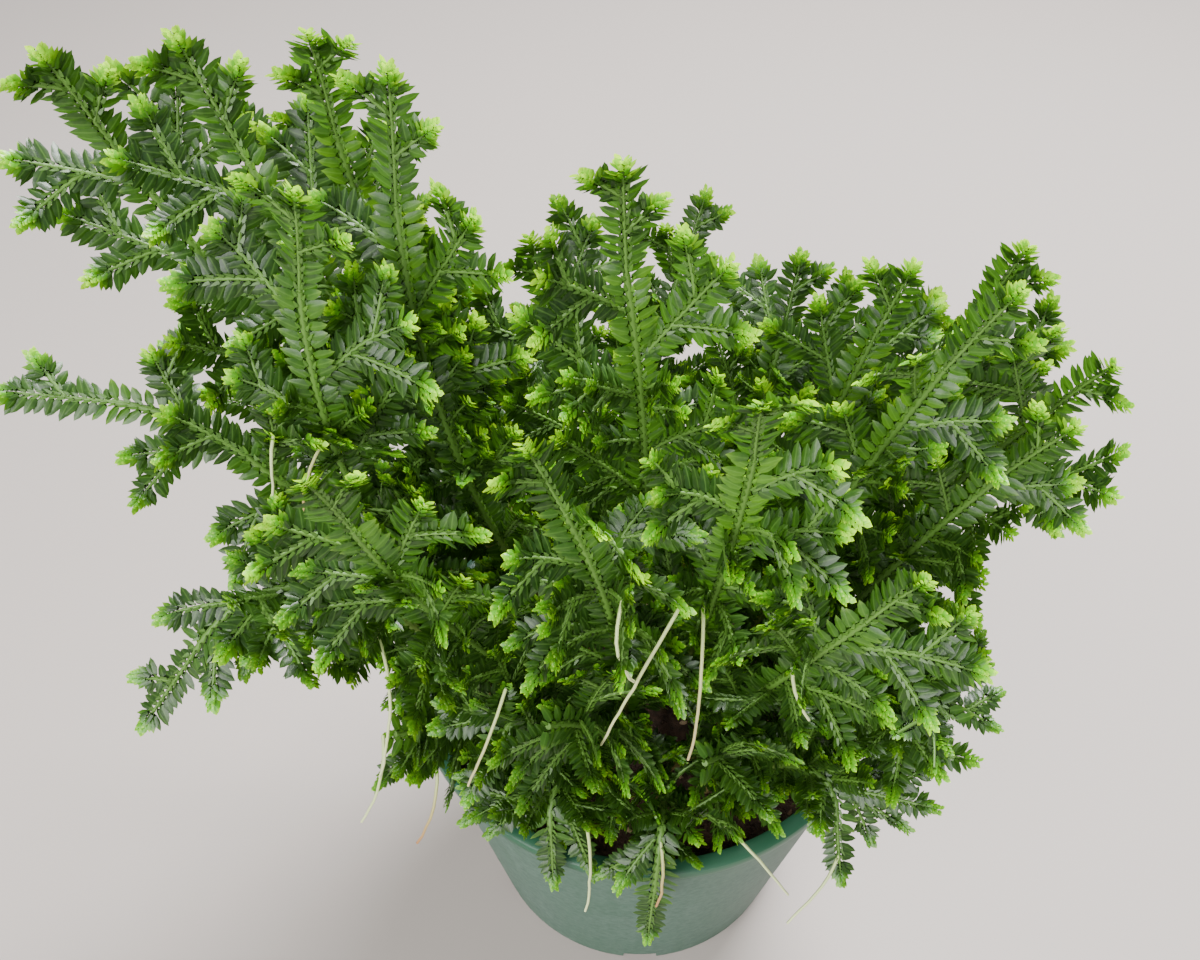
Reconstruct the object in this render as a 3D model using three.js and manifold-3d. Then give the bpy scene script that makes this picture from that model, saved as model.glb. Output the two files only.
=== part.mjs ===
// A spikemoss in a round nursery pot. Millimetres, +Z up.
// The origin is the middle of the face that the pot stands on.
// Forked leafy stems rise from the soil, and each carries flat fern-like sprays on alternate sides.
import * as THREE from "three";
import { mergeVertices } from "three/addons/utils/BufferGeometryUtils.js";
import Module from "manifold-3d";

// Pot
const POT_HEIGHT = 84;
const BASE_RADIUS = 42;
const WALL_RADIUS = 55.6;        // outside of the wall, right under the lip
const WALL = 1.3;
const FLOOR = 2.0;
const FOOT_CHAMFER = 1.5;
const LIP_RADIUS = 57;
const LIP_INNER_RADIUS = 53.2;
const LIP_HEIGHT = 3.2;
const POT_SEGMENTS = 40;
const DRAIN_SLOTS = 6;
const DRAIN_WIDTH = 9;
const DRAIN_HEIGHT = 5;
const DRAIN_LENGTH = 12;

// Soil
const FIT_GAP = 0.3;
const SOIL_EDGE = 73;
const SOIL_CROWN = 75.4;
const SOIL_SEGMENTS = 36;

// Leafy stems
const STEM_HALF_WIDTH = 1.2;
const STEM_HALF_DEPTH = 1;
const STEM_FOOT = 58;            // height of the sunk end
const STEM_START = 77.5;         // height where a stem begins to lean
const STEM_SAMPLES = 32;
const HOLE_RADIUS = 2.3;
const HOLE_SIDES = 5;
const HOLE_DEPTH_GAP = 0.4;

// Sprays
const FIRST_SPRAY = 0.16;        // share of the stem below its first spray
const LAST_SIDE_SPRAY = 0.85;
const END_SPRAY = 0.9;           // the spray that continues the stem
const FORK_HALF = 1.5;           // half length of the stem that a spray grows from
const SPRAY_SPACING = 10.8;
const SPRAY_ANGLE = [34, 46];    // between a spray and its stem
const LIFT = 0.12;
const SPRAY_CLEAR = 5;           // length near the root that isn't tested for room
const SHORTEST_SPRAY = 10;
const SHORTEST_LOBE = 8;
const LONGEST_LOBE = 15;
const LONGEST_END_LOBE = 10;      // on the spray that ends a stem
const END_DROOP = 0.4;           // share of the droop that an end spray has
const SAMPLE_STEP = 3;
const BRANCH_CLEAR = 3.1;        // between sample points of two branches
const OWN_STEM_CLEAR = 1.8;
const POT_CLEAR = 2;
const TWIST = 50;                // most turn of a spray's face away from the plane of its fork
const ROLLS = [0, 40, -40];      // turns about the stem that a spray may take to find room
const LIGHT = new THREE.Vector3(0, -0.5, 0.866);

// Leaflets
const LEAF_PITCH = 7;
const BRANCH_HALF = 4.6;         // half width over the leaflets
const LOBE_HALF = 4.2;
const RIB_HALF = 0.8;
const PLATE_HALF = 0.35;
const LEAF_LEAN = 1.7;           // leaflet tips lean forward
const LEAF_DIP = 0.8;            // and hang below the rib
const TIP_LENGTH = 2.5;
const LOBE_START = 5;

// Aerial roots
const ROOT_RADIUS = 0.5;
const ROOT_SIDES = 4;
const ROOT_STEPS = 3;
const ROOT_STEP = 4;
const SHORTEST_ROOT = 12;

const UP = new THREE.Vector3(0, 0, 1);
const wasm = await Module();
wasm.setup();

// A leafy stem: name, foot (x, y), knee (x, y, z), tip (x, y, z), longest spray, droop of its sprays,
// seed of its draws
const STEMS = [
  ["far_left", [-32, 4], [-81, 15, 183], [-96, 8, 227], 25, 0, 6722],
  ["left_upper", [-26, 14], [-48, 1, 160], [-77, 10, 232], 27, 0.02, 5939],
  ["left_near", [-28, -6], [-71, -18, 152], [-57, -17, 224], 24, 0.15, 9588],
  ["left_top", [-16, 18], [-54, 23, 156], [-57, 9, 237], 16, 0.07, 9992],
  ["left_inner", [-13, 7], [-48, -14, 157], [-45, 3, 229], 20, 0.02, 4023],
  ["inner_back", [-3, 26], [-15, 16, 148], [-22, 14, 192], 23, 0.1, 2039],
  ["centre", [-5, 9], [4, -14, 144], [-9, -10, 224], 27, 0.02, 8682],
  ["centre_right", [6, -4], [12, -35, 145], [13, -44, 209], 24, 0.3, 9470],
  ["centre_back", [8, 25], [25, 17, 142], [31, 37, 167], 24, 0, 214],
  ["right_back", [16, 14], [31, 3, 140], [46, 13, 185], 23, 0, 3430],
  ["right_top", [24, 10], [57, 14, 136], [65, 10, 194], 26, 0.03, 718],
  ["right", [29, 0], [63, 6, 142], [77, -11, 184], 26, 0.04, 2806],
  ["right_low", [28, -11], [46, -13, 134], [69, -19, 177], 18, 0, 8060],
  ["right_droop", [24, -23], [52, -33, 140], [60, -46, 122], 21, 0.05, 8225],
  ["front_right", [14, -31], [40, -44, 124], [38, -55, 96], 9, 0, 9542],
  ["front", [3, -35], [2, -58, 124], [0, -63, 78], 11, 0.2, 26],
  ["front_left", [-10, -32], [-24, -46, 118], [-21, -54, 91], 17, 0.28, 8162],
  ["left_front", [-21, -25], [-24, -36, 135], [-34, -45, 111], 20, 0, 1845],
  ["left_rim", [-33, -15], [-45, -35, 107], [-56, -40, 113], 13, 0.12, 8432],
  ["right_rim", [33, -16], [49, -10, 104], [62, -18, 107], 27, 0.3, 8264],
  ["left_droop", [-29, -17], [-64, -32, 195], [-92, -44, 135], 13, 0.12, 568],
  ["left_out", [-36, -6], [-74, 0, 174], [-113, -3, 173], 15, 0, 8093],
  ["left_mid_low", [-25, -14], [-58, -20, 155], [-79, -20, 180], 16, 0.3, 4129],
  ["front_mid", [-6, -19], [-3, -44, 153], [-20, -40, 190], 15, 0.21, 1251],
  ["right_front", [12, -18], [26, -49, 152], [37, -48, 166], 27, 0.11, 8390],
  ["right_mid", [17, -7], [32, -15, 153], [53, -15, 201], 17, 0, 1205],
  ["left_mid", [-17, -8], [-44, -40, 148], [-52, -49, 195], 18, 0, 6831],
  ["front_low", [-9, -25], [-11, -45, 132], [-23, -53, 136], 24, 0.12, 616],
  ["front_low_right", [5, -27], [20, -46, 121], [7, -54, 124], 18, 0.13, 9912],
  ["back_left", [-22, 27], [-55, 43, 159], [-82, 58, 192], 25, 0.03, 2719],
  ["back", [2, 37], [-1, 52, 142], [12, 70, 160], 17, 0, 1984],
  ["back_right", [24, 26], [43, 48, 128], [60, 43, 158], 23, 0, 1962],
  ["back_low", [-13, 35], [-33, 62, 134], [-42, 63, 128], 15, 0.2, 4259],
  ["back_low_right", [14, 36], [45, 59, 144], [34, 70, 127], 19, 0, 1269],
];

// Repeatable draws between two values
class Draws {
  constructor(seed) {
    this.state = seed * 7919 % 2147483647;
  }

  next() {
    this.state = this.state * 16807 % 2147483647;
    return this.state / 2147483647;
  }
}

const mix = (share, low, high) => low + (high - low) * share;
const radians = THREE.MathUtils.degToRad;

// One leafy stem's middle line, a bow from the soil over the knee to the tip
class Stem {
  constructor([name, foot, knee, tip, longest, droop, seed], index) {
    this.name = name;
    this.index = index;
    this.foot = foot;
    this.longest = longest;
    this.droop = droop;
    this.seed = seed;
    this.curve = new THREE.QuadraticBezierCurve3(
      new THREE.Vector3(foot[0], foot[1], STEM_START),
      new THREE.Vector3(...knee),
      new THREE.Vector3(...tip),
    );
    this.samples = [];
    for (let i = 0; i < STEM_SAMPLES; i += 1) {
      this.samples.push(this.curve.getPoint(i / (STEM_SAMPLES - 1)));
    }
    this.length = 0;
    for (let i = 1; i < STEM_SAMPLES; i += 1) {
      this.length += this.samples[i].distanceTo(this.samples[i - 1]);
    }
  }

  at(t) {
    return this.curve.getPoint(t);
  }

  velocity(t) {
    const { v0, v1, v2 } = this.curve;
    const first = v1.clone().sub(v0).multiplyScalar(2 * (1 - t));
    return first.addScaledVector(v2.clone().sub(v1), 2 * t);
  }

  // Forward, left and upper directions: the leafy face looks toward the light
  frame(t) {
    const heading = this.velocity(t).normalize();
    const across = new THREE.Vector3().crossVectors(LIGHT, heading).add(new THREE.Vector3(-0.25, 0, 0));
    across.addScaledVector(heading, -across.dot(heading)).normalize();
    const above = new THREE.Vector3().crossVectors(heading, across);
    return { heading, across, above };
  }
}

const stems = STEMS.map((row, index) => new Stem(row, index));

// How far a point is from the pot and the soil, above the rim or outside it
function potRoom(point) {
  return Math.max(point.z - POT_HEIGHT, Math.hypot(point.x, point.y) - LIP_RADIUS);
}

// Points that the plant already fills, each with the stem it belongs to and the room it needs
const filled = [];
for (const stem of stems) {
  for (const point of stem.samples.slice(0, Math.floor(STEM_SAMPLES * END_SPRAY))) {
    filled.push({ point, stem, bare: true });
  }
}

function blocked(point, stem) {
  if (potRoom(point) < POT_CLEAR) {
    return true;
  }
  return filled.some((other) => {
    const clear = other.bare && other.stem === stem ? OWN_STEM_CLEAR : BRANCH_CLEAR;
    return point.distanceToSquared(other.point) < clear ** 2;
  });
}

// A flat leafy branch: a drooping line with a face direction
class Branch {
  constructor(start, heading, face, length, droop, half) {
    this.start = start;
    this.heading = heading;
    this.face = face;
    this.length = length;
    this.fullLength = length;
    this.droop = droop;
    this.half = half;
    this.forks = new Map();
  }

  at(s) {
    const bend = s * s / this.fullLength;
    const point = this.start.clone().addScaledVector(this.heading, s);
    return point.addScaledVector(this.face, LIFT * bend).addScaledVector(UP, -this.droop * bend);
  }

  // Forward, face and left directions at a distance along the branch
  frame(s) {
    const forward = this.at(s + 0.5).sub(this.at(s - 0.5)).normalize();
    const face = this.face.clone().addScaledVector(forward, -this.face.dot(forward)).normalize();
    const left = new THREE.Vector3().crossVectors(face, forward);
    return { forward, face, left };
  }

  // Points over the width of the branch at a distance along it
  across(s) {
    const { left } = this.frame(s);
    const reach = this.half * 0.8;
    return [-reach, 0, reach].map((offset) => this.at(s).addScaledVector(left, offset));
  }

  // Shortens the branch to where it would touch the pot or another branch
  fit(stem) {
    for (let s = SPRAY_CLEAR; s <= this.length + 1e-9; s += SAMPLE_STEP) {
      if (this.across(s).some((point) => blocked(point, stem))) {
        this.length = s - SAMPLE_STEP;
        break;
      }
    }
    if (this.length < SPRAY_CLEAR) {
      this.length = 0;
    }
    return this;
  }

  fill(stem) {
    for (let s = SPRAY_CLEAR; s <= this.length + 1e-9; s += SAMPLE_STEP) {
      for (const point of this.across(s)) {
        filled.push({ point, stem, bare: false });
      }
    }
  }

  stations() {
    const list = [];
    for (let s = LOBE_START; s <= this.length - TIP_LENGTH + 1e-9; s += LEAF_PITCH) {
      list.push(s);
    }
    return list;
  }
}

// A spray turns its face from the plane of its fork toward the light, but only so far
function sprayFace(flat, direction, above) {
  flat.addScaledVector(direction, -flat.dot(direction)).normalize();
  const lit = LIGHT.clone().addScaledVector(above, 0.4);
  lit.addScaledVector(direction, -lit.dot(direction)).normalize();
  const sideways = new THREE.Vector3().crossVectors(direction, flat);
  const angle = Math.atan2(lit.dot(sideways), lit.dot(flat));
  const limited = THREE.MathUtils.clamp(angle, -radians(TWIST), radians(TWIST));
  return flat.multiplyScalar(Math.cos(limited)).addScaledVector(sideways, Math.sin(limited));
}

// One spray, with forks to either side. The last spray of a stem continues it.
function growSpray(stem, k, row) {
  const last = k === stem.sprayCount;
  const along = mix((k + mix(row[0], -0.2, 0.2)) / (stem.sprayCount - 1), FIRST_SPRAY, LAST_SIDE_SPRAY);
  const t = last ? END_SPRAY : along;
  const reach = (2 * FORK_HALF + 1) / stem.velocity(t).length();
  if (stem.sprays.some((other) => Math.abs(other.t - t) < reach) || t + reach > (last ? 1 : END_SPRAY)) {
    return;
  }
  const { heading, across, above } = stem.frame(t);
  const side = k % 2 ? 1 : -1;
  const fullness = 0.7 + 0.45 * Math.sin(Math.PI * t);
  const sideLength = stem.longest * fullness * mix(row[1], 0.85, 1.15);
  const length = last ? (1 - END_SPRAY) * stem.length + 8 : sideLength;
  const angle = radians(last ? mix(row[2], -5, 5) : mix(row[2], ...SPRAY_ANGLE));
  const droop = (stem.droop + mix(row[4], 0, 0.2)) * (last ? END_DROOP : 1);
  const longestLobe = last ? LONGEST_END_LOBE : LONGEST_LOBE;
  let spray = null;
  for (const turn of last ? [0] : ROLLS) {
    const roll = radians(mix(row[3], -22, 22) + turn);
    const direction = heading.clone().multiplyScalar(Math.cos(angle));
    direction.addScaledVector(across, Math.cos(roll) * side * Math.sin(angle));
    direction.addScaledVector(above, Math.sin(roll) * Math.sin(angle)).normalize();
    const flat = last ? above.clone() : new THREE.Vector3().crossVectors(heading, direction);
    const face = sprayFace(flat.multiplyScalar(last ? 1 : side), direction, above);
    const start = stem.at(t).addScaledVector(across, last ? 0 : side * STEM_HALF_WIDTH);
    const candidate = new Branch(start, direction, face, length, droop, BRANCH_HALF).fit(stem);
    if (!spray || candidate.length > spray.length + SAMPLE_STEP) {
      spray = candidate;
    }
  }
  if (spray.length < SHORTEST_SPRAY) {
    return;
  }

  let lobeSide = side;
  let segment = 1;
  while (LOBE_START + segment * LEAF_PITCH <= spray.length - TIP_LENGTH) {
    const s = LOBE_START + (segment - 0.5) * LEAF_PITCH;
    const frame = spray.frame(s);
    const fork = radians(mix(row[5], 43, 50));
    const lobeLength = Math.min(longestLobe, (spray.length - s) * 0.5 + 8) * mix(row[6], 0.9, 1.1);
    const lobeHeading = frame.forward.clone().multiplyScalar(Math.cos(fork));
    lobeHeading.addScaledVector(frame.left, lobeSide * Math.sin(fork)).normalize();
    const lobe = new Branch(spray.at(s), lobeHeading, frame.face, lobeLength, spray.droop * 0.6, LOBE_HALF);
    lobe.fit(stem);
    if (lobe.length >= SHORTEST_LOBE) {
      spray.forks.set(`${segment}:${lobeSide}`, lobe);
    }
    lobeSide = -lobeSide;
    segment += lobeSide === side ? 2 : 1;
  }
  stem.sprays.push({ t, side, last, spray });
  spray.fill(stem);
  for (const lobe of spray.forks.values()) {
    lobe.fill(stem);
  }
}

// All sprays, from the tips of the stems downward, so that every tip has its room
function growSprays() {
  const rows = new Map();
  for (const stem of stems) {
    const draws = new Draws(stem.seed);
    const leafyLength = (LAST_SIDE_SPRAY - FIRST_SPRAY) * stem.length;
    stem.sprayCount = Math.max(2, Math.round(leafyLength / SPRAY_SPACING));
    stem.sprays = [];
    const draw = () => Array.from({ length: 7 }, () => draws.next());
    rows.set(stem, Array.from({ length: stem.sprayCount + 1 }, draw));
  }
  const most = Math.max(...stems.map((stem) => stem.sprayCount));
  for (let level = 0; level <= most; level += 1) {
    for (const stem of stems) {
      const k = stem.sprayCount - level;
      if (k >= 0) {
        growSpray(stem, k, rows.get(stem)[k]);
      }
    }
  }
  for (const stem of stems) {
    stem.sprays.sort((a, b) => a.t - b.t);
  }
}

// Collects the corners and faces of one closed plate. A corner is a pair, over and under the plate,
// or a single point where both faces meet in an edge.
class Plate {
  constructor() {
    this.points = [];
    this.faces = [];
  }

  pair(point, face, half) {
    const over = this.point(point.clone().addScaledVector(face, half));
    const under = this.point(point.clone().addScaledVector(face, -half));
    return [over, under];
  }

  single(point) {
    const index = this.point(point);
    return [index, index];
  }

  point(point) {
    this.points.push(point.x, point.y, point.z);
    return this.points.length / 3 - 1;
  }

  // Three corners in turn, seen from above: one triangle over and one under
  sheet(a, b, c) {
    this.faces.push(a[0], b[0], c[0], a[1], c[1], b[1]);
  }

  // The edge from one corner to the next, with the outside on the right
  wall(a, b) {
    if (a[0] !== a[1]) {
      this.faces.push(a[1], b[0], a[0]);
    }
    if (b[0] !== b[1]) {
      this.faces.push(a[1], b[1], b[0]);
    }
  }

  geometry() {
    const geometry = new THREE.BufferGeometry();
    geometry.setAttribute("position", new THREE.Float32BufferAttribute(this.points, 3));
    geometry.setIndex(this.faces);
    return geometry;
  }
}

// A leaflet on one edge of the rib, between two stations
function leaflet(plate, branch, s, side, from, to) {
  const { forward, face, left } = branch.frame(s);
  const tip = branch.at(s).addScaledVector(forward, LEAF_LEAN);
  tip.addScaledVector(left, side * branch.half).addScaledVector(face, -LEAF_DIP);
  const corner = plate.single(tip);
  plate.sheet(from, corner, to);
  plate.wall(from, corner);
  plate.wall(corner, to);
}

// The rib of a branch with its leaflets and forks, grown from two corners of what carries it
function leafyBranch(plate, branch, rootLeft, rootRight) {
  const corners = [{ s: 0, left: rootLeft, right: rootRight }];
  for (const s of branch.stations()) {
    const { face, left } = branch.frame(s);
    const middle = branch.at(s);
    corners.push({
      s,
      left: plate.pair(middle.clone().addScaledVector(left, RIB_HALF), face, PLATE_HALF),
      right: plate.pair(middle.clone().addScaledVector(left, -RIB_HALF), face, PLATE_HALF),
    });
  }

  const lobes = [];
  for (let i = 0; i + 1 < corners.length; i += 1) {
    const from = corners[i];
    const to = corners[i + 1];
    plate.sheet(from.right, to.right, to.left);
    plate.sheet(from.right, to.left, from.left);
    for (const side of [1, -1]) {
      const [start, end] = side > 0 ? [to.left, from.left] : [from.right, to.right];
      const lobe = branch.forks.get(`${i}:${side}`);
      const behindFork = branch.forks.has(`${i - 1}:${side}`);
      if (lobe) {
        lobes.push([lobe, side > 0 ? from.left : to.right, side > 0 ? to.left : from.right]);
      } else if (behindFork || i === 0) {
        plate.wall(start, end);
      } else {
        leaflet(plate, branch, (from.s + to.s) / 2, side, start, end);
      }
    }
  }
  endLeaflet(plate, branch, corners);
  for (const [lobe, left, right] of lobes) {
    leafyBranch(plate, lobe, left, right);
  }
}

// The end leaflet is wider than the rib, but narrow beside a fork
function endLeaflet(plate, branch, corners) {
  const end = corners[corners.length - 1];
  const rest = branch.length - end.s;
  const { forward, face, left } = branch.frame(end.s + rest / 2);
  const tip = plate.single(branch.at(branch.length).addScaledVector(forward, 0.5));
  const shoulder = (side) => {
    if (branch.forks.has(`${corners.length - 2}:${side}`)) {
      return tip;
    }
    const besideFork = branch.forks.has(`${corners.length - 3}:${side}`);
    const reach = side * branch.half * (besideFork ? 0.45 : 0.72);
    const point = branch.at(end.s + rest * 0.45).addScaledVector(left, reach);
    return plate.single(point.addScaledVector(face, -LEAF_DIP / 2));
  };
  const leftShoulder = shoulder(1);
  const rightShoulder = shoulder(-1);
  plate.sheet(end.right, tip, end.left);
  if (rightShoulder !== tip) {
    plate.sheet(end.right, rightShoulder, tip);
  }
  if (leftShoulder !== tip) {
    plate.sheet(end.left, tip, leftShoulder);
  }
  plate.wall(end.right, rightShoulder);
  plate.wall(leftShoulder, end.left);
}

// Four corners around a stem at one place
function stemCorners(plate, point, across, above) {
  return {
    left: plate.pair(point.clone().addScaledVector(across, STEM_HALF_WIDTH), above, STEM_HALF_DEPTH),
    right: plate.pair(point.clone().addScaledVector(across, -STEM_HALF_WIDTH), above, STEM_HALF_DEPTH),
  };
}

// The whole leafy stem: the sunk foot, the stem and its sprays
function leafyStemGeometry(stem) {
  const plate = new Plate();
  const stations = [{ t: 0 }];
  for (const { t, last, side, spray } of stem.sprays) {
    const half = FORK_HALF / stem.velocity(t).length();
    if (!last) {
      stations.push({ t: t - half, spray, side }, { t: t + half });
    }
  }
  stations.push({ t: END_SPRAY });
  const [x, y] = stem.foot;
  const upright = stem.frame(0);
  const across = new THREE.Vector3(upright.across.x, upright.across.y, 0).normalize();
  const above = new THREE.Vector3().crossVectors(UP, across);
  let from = stemCorners(plate, new THREE.Vector3(x, y, STEM_FOOT), across, above);
  plate.wall(from.left, from.right);
  const forks = [];
  let fork = null;
  for (const station of stations) {
    const frame = station.t === 0 ? { across, above } : stem.frame(station.t);
    const to = stemCorners(plate, stem.at(station.t), frame.across, frame.above);
    plate.sheet(from.right, to.right, to.left);
    plate.sheet(from.right, to.left, from.left);
    if (fork && fork.side > 0) {
      forks.push([fork.spray, from.left, to.left]);
    } else {
      plate.wall(to.left, from.left);
    }
    if (fork && fork.side < 0) {
      forks.push([fork.spray, to.right, from.right]);
    } else {
      plate.wall(from.right, to.right);
    }
    fork = station.spray ? station : null;
    from = to;
  }
  const end = stem.sprays.find(({ last }) => last);
  if (end) {
    forks.push([end.spray, from.left, from.right]);
  } else {
    plate.wall(from.right, from.left);
  }
  for (const [spray, left, right] of forks) {
    leafyBranch(plate, spray, left, right);
  }
  return plate.geometry();
}

// A closed geometry as a solid that can be joined and cut
function solid(geometry) {
  const bare = geometry.clone();
  bare.deleteAttribute("normal");
  bare.deleteAttribute("uv");
  const merged = mergeVertices(bare, 1e-4);
  return new wasm.Manifold(new wasm.Mesh({
    numProp: 3,
    vertProperties: new Float32Array(merged.attributes.position.array),
    triVerts: new Uint32Array(merged.index.array),
  }));
}

function geometryOf(manifold) {
  const mesh = manifold.getMesh();
  const geometry = new THREE.BufferGeometry();
  geometry.setAttribute("position", new THREE.BufferAttribute(new Float32Array(mesh.vertProperties), 3));
  geometry.setIndex(new THREE.BufferAttribute(new Uint32Array(mesh.triVerts), 1));
  geometry.computeVertexNormals();
  return geometry;
}

function polygon(radius, sides) {
  const shape = new THREE.Shape();
  for (let i = 0; i < sides; i += 1) {
    const angle = 2 * Math.PI * i / sides;
    const [x, y] = [radius * Math.cos(angle), radius * Math.sin(angle)];
    if (i === 0) {
      shape.moveTo(x, y);
    } else {
      shape.lineTo(x, y);
    }
  }
  shape.closePath();
  return shape;
}

function tube(curve, radius, sides, steps) {
  return new THREE.ExtrudeGeometry(polygon(radius, sides), { steps, extrudePath: curve, bevelEnabled: false });
}

function uprightCylinder(x, y, low, high, radius, sides) {
  const geometry = new THREE.CylinderGeometry(radius, radius, high - low, sides);
  geometry.rotateX(Math.PI / 2);
  geometry.translate(x, y, (low + high) / 2);
  return geometry;
}

// A hanging aerial root, stopped where it would leave its stem's room
function rootCurve(stem) {
  const draws = new Draws(stem.index + 101);
  const t = mix(draws.next(), 0.2, 0.45);
  const turn = draws.next() * 2 * Math.PI;
  const reach = mix(draws.next(), 20, 46);
  const start = stem.at(t);
  const heading = new THREE.Vector3(Math.cos(turn) * 0.5, Math.sin(turn) * 0.5, -0.7).normalize();
  const at = (s) => start.clone().addScaledVector(heading, s).addScaledVector(UP, -0.25 * s * s / reach);
  let length = 0;
  while (length + ROOT_STEP <= reach && !blocked(at(length + ROOT_STEP), stem)) {
    length += ROOT_STEP;
  }
  if (length < SHORTEST_ROOT) {
    return null;
  }
  return new THREE.QuadraticBezierCurve3(start, at(length / 2), at(length));
}

function leafyStem(stem) {
  const leafy = leafyStemGeometry(stem);
  const root = rootCurve(stem);
  if (!root) {
    return leafy;
  }
  return geometryOf(solid(leafy).add(solid(tube(root, ROOT_RADIUS, ROOT_SIDES, ROOT_STEPS))));
}

// The pot: a thin tapered wall under a lip, with drain slots where the wall meets the floor
function pot() {
  const profile = [
    [0, 0],
    [BASE_RADIUS - FOOT_CHAMFER, 0],
    [BASE_RADIUS, FOOT_CHAMFER],
    [WALL_RADIUS, POT_HEIGHT - LIP_HEIGHT],
    [LIP_RADIUS, POT_HEIGHT - LIP_HEIGHT + 0.6],
    [LIP_RADIUS, POT_HEIGHT - 0.6],
    [LIP_RADIUS - 0.8, POT_HEIGHT],
    [LIP_INNER_RADIUS + 0.4, POT_HEIGHT],
    [LIP_INNER_RADIUS, POT_HEIGHT - 0.6],
    [BASE_RADIUS - WALL, FLOOR],
    [0, FLOOR],
  ];
  const wall = new THREE.LatheGeometry(profile.map(([r, z]) => new THREE.Vector2(r, z)), POT_SEGMENTS);
  wall.rotateX(Math.PI / 2);
  let body = solid(wall);
  for (let i = 0; i < DRAIN_SLOTS; i += 1) {
    const slot = new THREE.BoxGeometry(DRAIN_LENGTH, DRAIN_WIDTH, DRAIN_HEIGHT);
    slot.translate(BASE_RADIUS, 0, FOOT_CHAMFER);
    slot.rotateZ(radians(360 * (i + 0.5) / DRAIN_SLOTS));
    body = body.subtract(solid(slot));
  }
  return geometryOf(body);
}

// The soil fills the pot, slightly crowned, with a plain hole for each stem
function soil() {
  const insideAt = (z) => BASE_RADIUS - WALL
    + (LIP_INNER_RADIUS - BASE_RADIUS + WALL) * (z - FLOOR) / (POT_HEIGHT - 0.6 - FLOOR);
  const profile = [
    [0, FLOOR + FIT_GAP],
    [insideAt(FLOOR) - FIT_GAP, FLOOR + FIT_GAP],
    [insideAt(SOIL_EDGE) - FIT_GAP * 1.2, SOIL_EDGE],
    [insideAt(SOIL_EDGE) * 0.6, mix(0.7, SOIL_EDGE, SOIL_CROWN)],
    [0, SOIL_CROWN],
  ];
  const mound = new THREE.LatheGeometry(profile.map(([r, z]) => new THREE.Vector2(r, z)), SOIL_SEGMENTS);
  mound.rotateX(Math.PI / 2);
  let body = solid(mound);
  for (const { foot: [x, y] } of stems) {
    const hole = uprightCylinder(x, y, STEM_FOOT - HOLE_DEPTH_GAP, SOIL_CROWN + 2, HOLE_RADIUS, HOLE_SIDES);
    body = body.subtract(solid(hole));
  }
  return geometryOf(body);
}

function piece(name, geometry, color, roughness) {
  const mesh = new THREE.Mesh(geometry, new THREE.MeshStandardMaterial({ color, roughness, metalness: 0 }));
  mesh.name = name;
  return mesh;
}

growSprays();
const plant = new THREE.Group();
plant.add(piece("pot", pot(), 0x4f7d6c, 0.55));
plant.add(piece("soil", soil(), 0x33231b, 0.95));
const foliage = new THREE.Group();
for (const stem of stems) {
  foliage.add(piece(`leafy_stem_${stem.name}`, leafyStem(stem), 0x3f7d2c, 0.4));
}
plant.add(foliage);

export default plant;
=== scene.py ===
import functools
import math

import bmesh
import bpy
import numpy as np
from mathutils import Matrix, Vector, noise


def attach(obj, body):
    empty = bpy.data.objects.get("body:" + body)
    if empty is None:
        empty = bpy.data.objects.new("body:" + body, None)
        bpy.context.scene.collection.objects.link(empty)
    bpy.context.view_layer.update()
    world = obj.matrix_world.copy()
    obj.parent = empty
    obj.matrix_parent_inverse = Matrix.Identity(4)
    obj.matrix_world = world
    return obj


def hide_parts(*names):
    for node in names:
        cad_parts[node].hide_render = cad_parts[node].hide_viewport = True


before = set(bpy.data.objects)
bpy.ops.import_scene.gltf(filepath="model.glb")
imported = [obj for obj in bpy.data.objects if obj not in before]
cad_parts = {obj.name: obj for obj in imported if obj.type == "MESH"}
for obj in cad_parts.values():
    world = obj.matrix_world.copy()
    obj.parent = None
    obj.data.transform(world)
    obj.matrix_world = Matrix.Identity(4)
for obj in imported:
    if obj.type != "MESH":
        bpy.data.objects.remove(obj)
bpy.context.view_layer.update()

MM = 0.001

# Pot and soil, in millimetres
POT_HEIGHT = 84
BASE_RADIUS = 42
WALL_RADIUS = 55.6
WALL = 1.3
FLOOR = 2.0
LIP_RADIUS = 57
LIP_INNER_RADIUS = 53.2
LIP_HEIGHT = 3.2
DRAIN_SLOTS = 6
DRAIN_SIZE = (12, 9, 5)
SOIL_EDGE = 73
SOIL_CROWN = 75.4
SOIL_GAP = 0.36  # between soil and wall
FLOOR_GAP = 0.3
SOIL_RINGS = 44
SOIL_SEGMENTS = 150
POT_SEGMENTS = 144

# Leafy stems, as in the solids
STEM_FOOT = 58
STEM_START = 77.5
STEM_SAMPLES = 32
STEM_HALF_WIDTH = 1.2
FIRST_SPRAY = 0.16
LAST_SIDE_SPRAY = 0.85
END_SPRAY = 0.9
FORK_HALF = 1.5
SPRAY_SPACING = 10.8
SPRAY_ANGLE = (34, 46)
LIFT = 0.12
SPRAY_CLEAR = 5
SHORTEST_SPRAY = 10
SHORTEST_LOBE = 8
LONGEST_LOBE = 15
LONGEST_END_LOBE = 10
END_DROOP = 0.4
SAMPLE_STEP = 3
BRANCH_CLEAR = 3.1
CLEAR = (BRANCH_CLEAR, 1.8)  # from other branches, and from its own stem
POT_CLEAR = 2
TWIST = 50
ROLLS = (0, 40, -40)
LEAF_PITCH = 7
BRANCH_HALF = 4.6
LOBE_HALF = 4.2
TIP_LENGTH = 2.5
LOBE_START = 5
UP = np.array([0.0, 0.0, 1.0])
LIGHT = np.array([0.0, -0.5, 0.866])
SIDE_TURN = np.array([-0.25, 0.0, 0.0])  # turns the spread of the sprays a little
FACE_TURN = 0.4  # how much a spray's face also follows its stem
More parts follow.
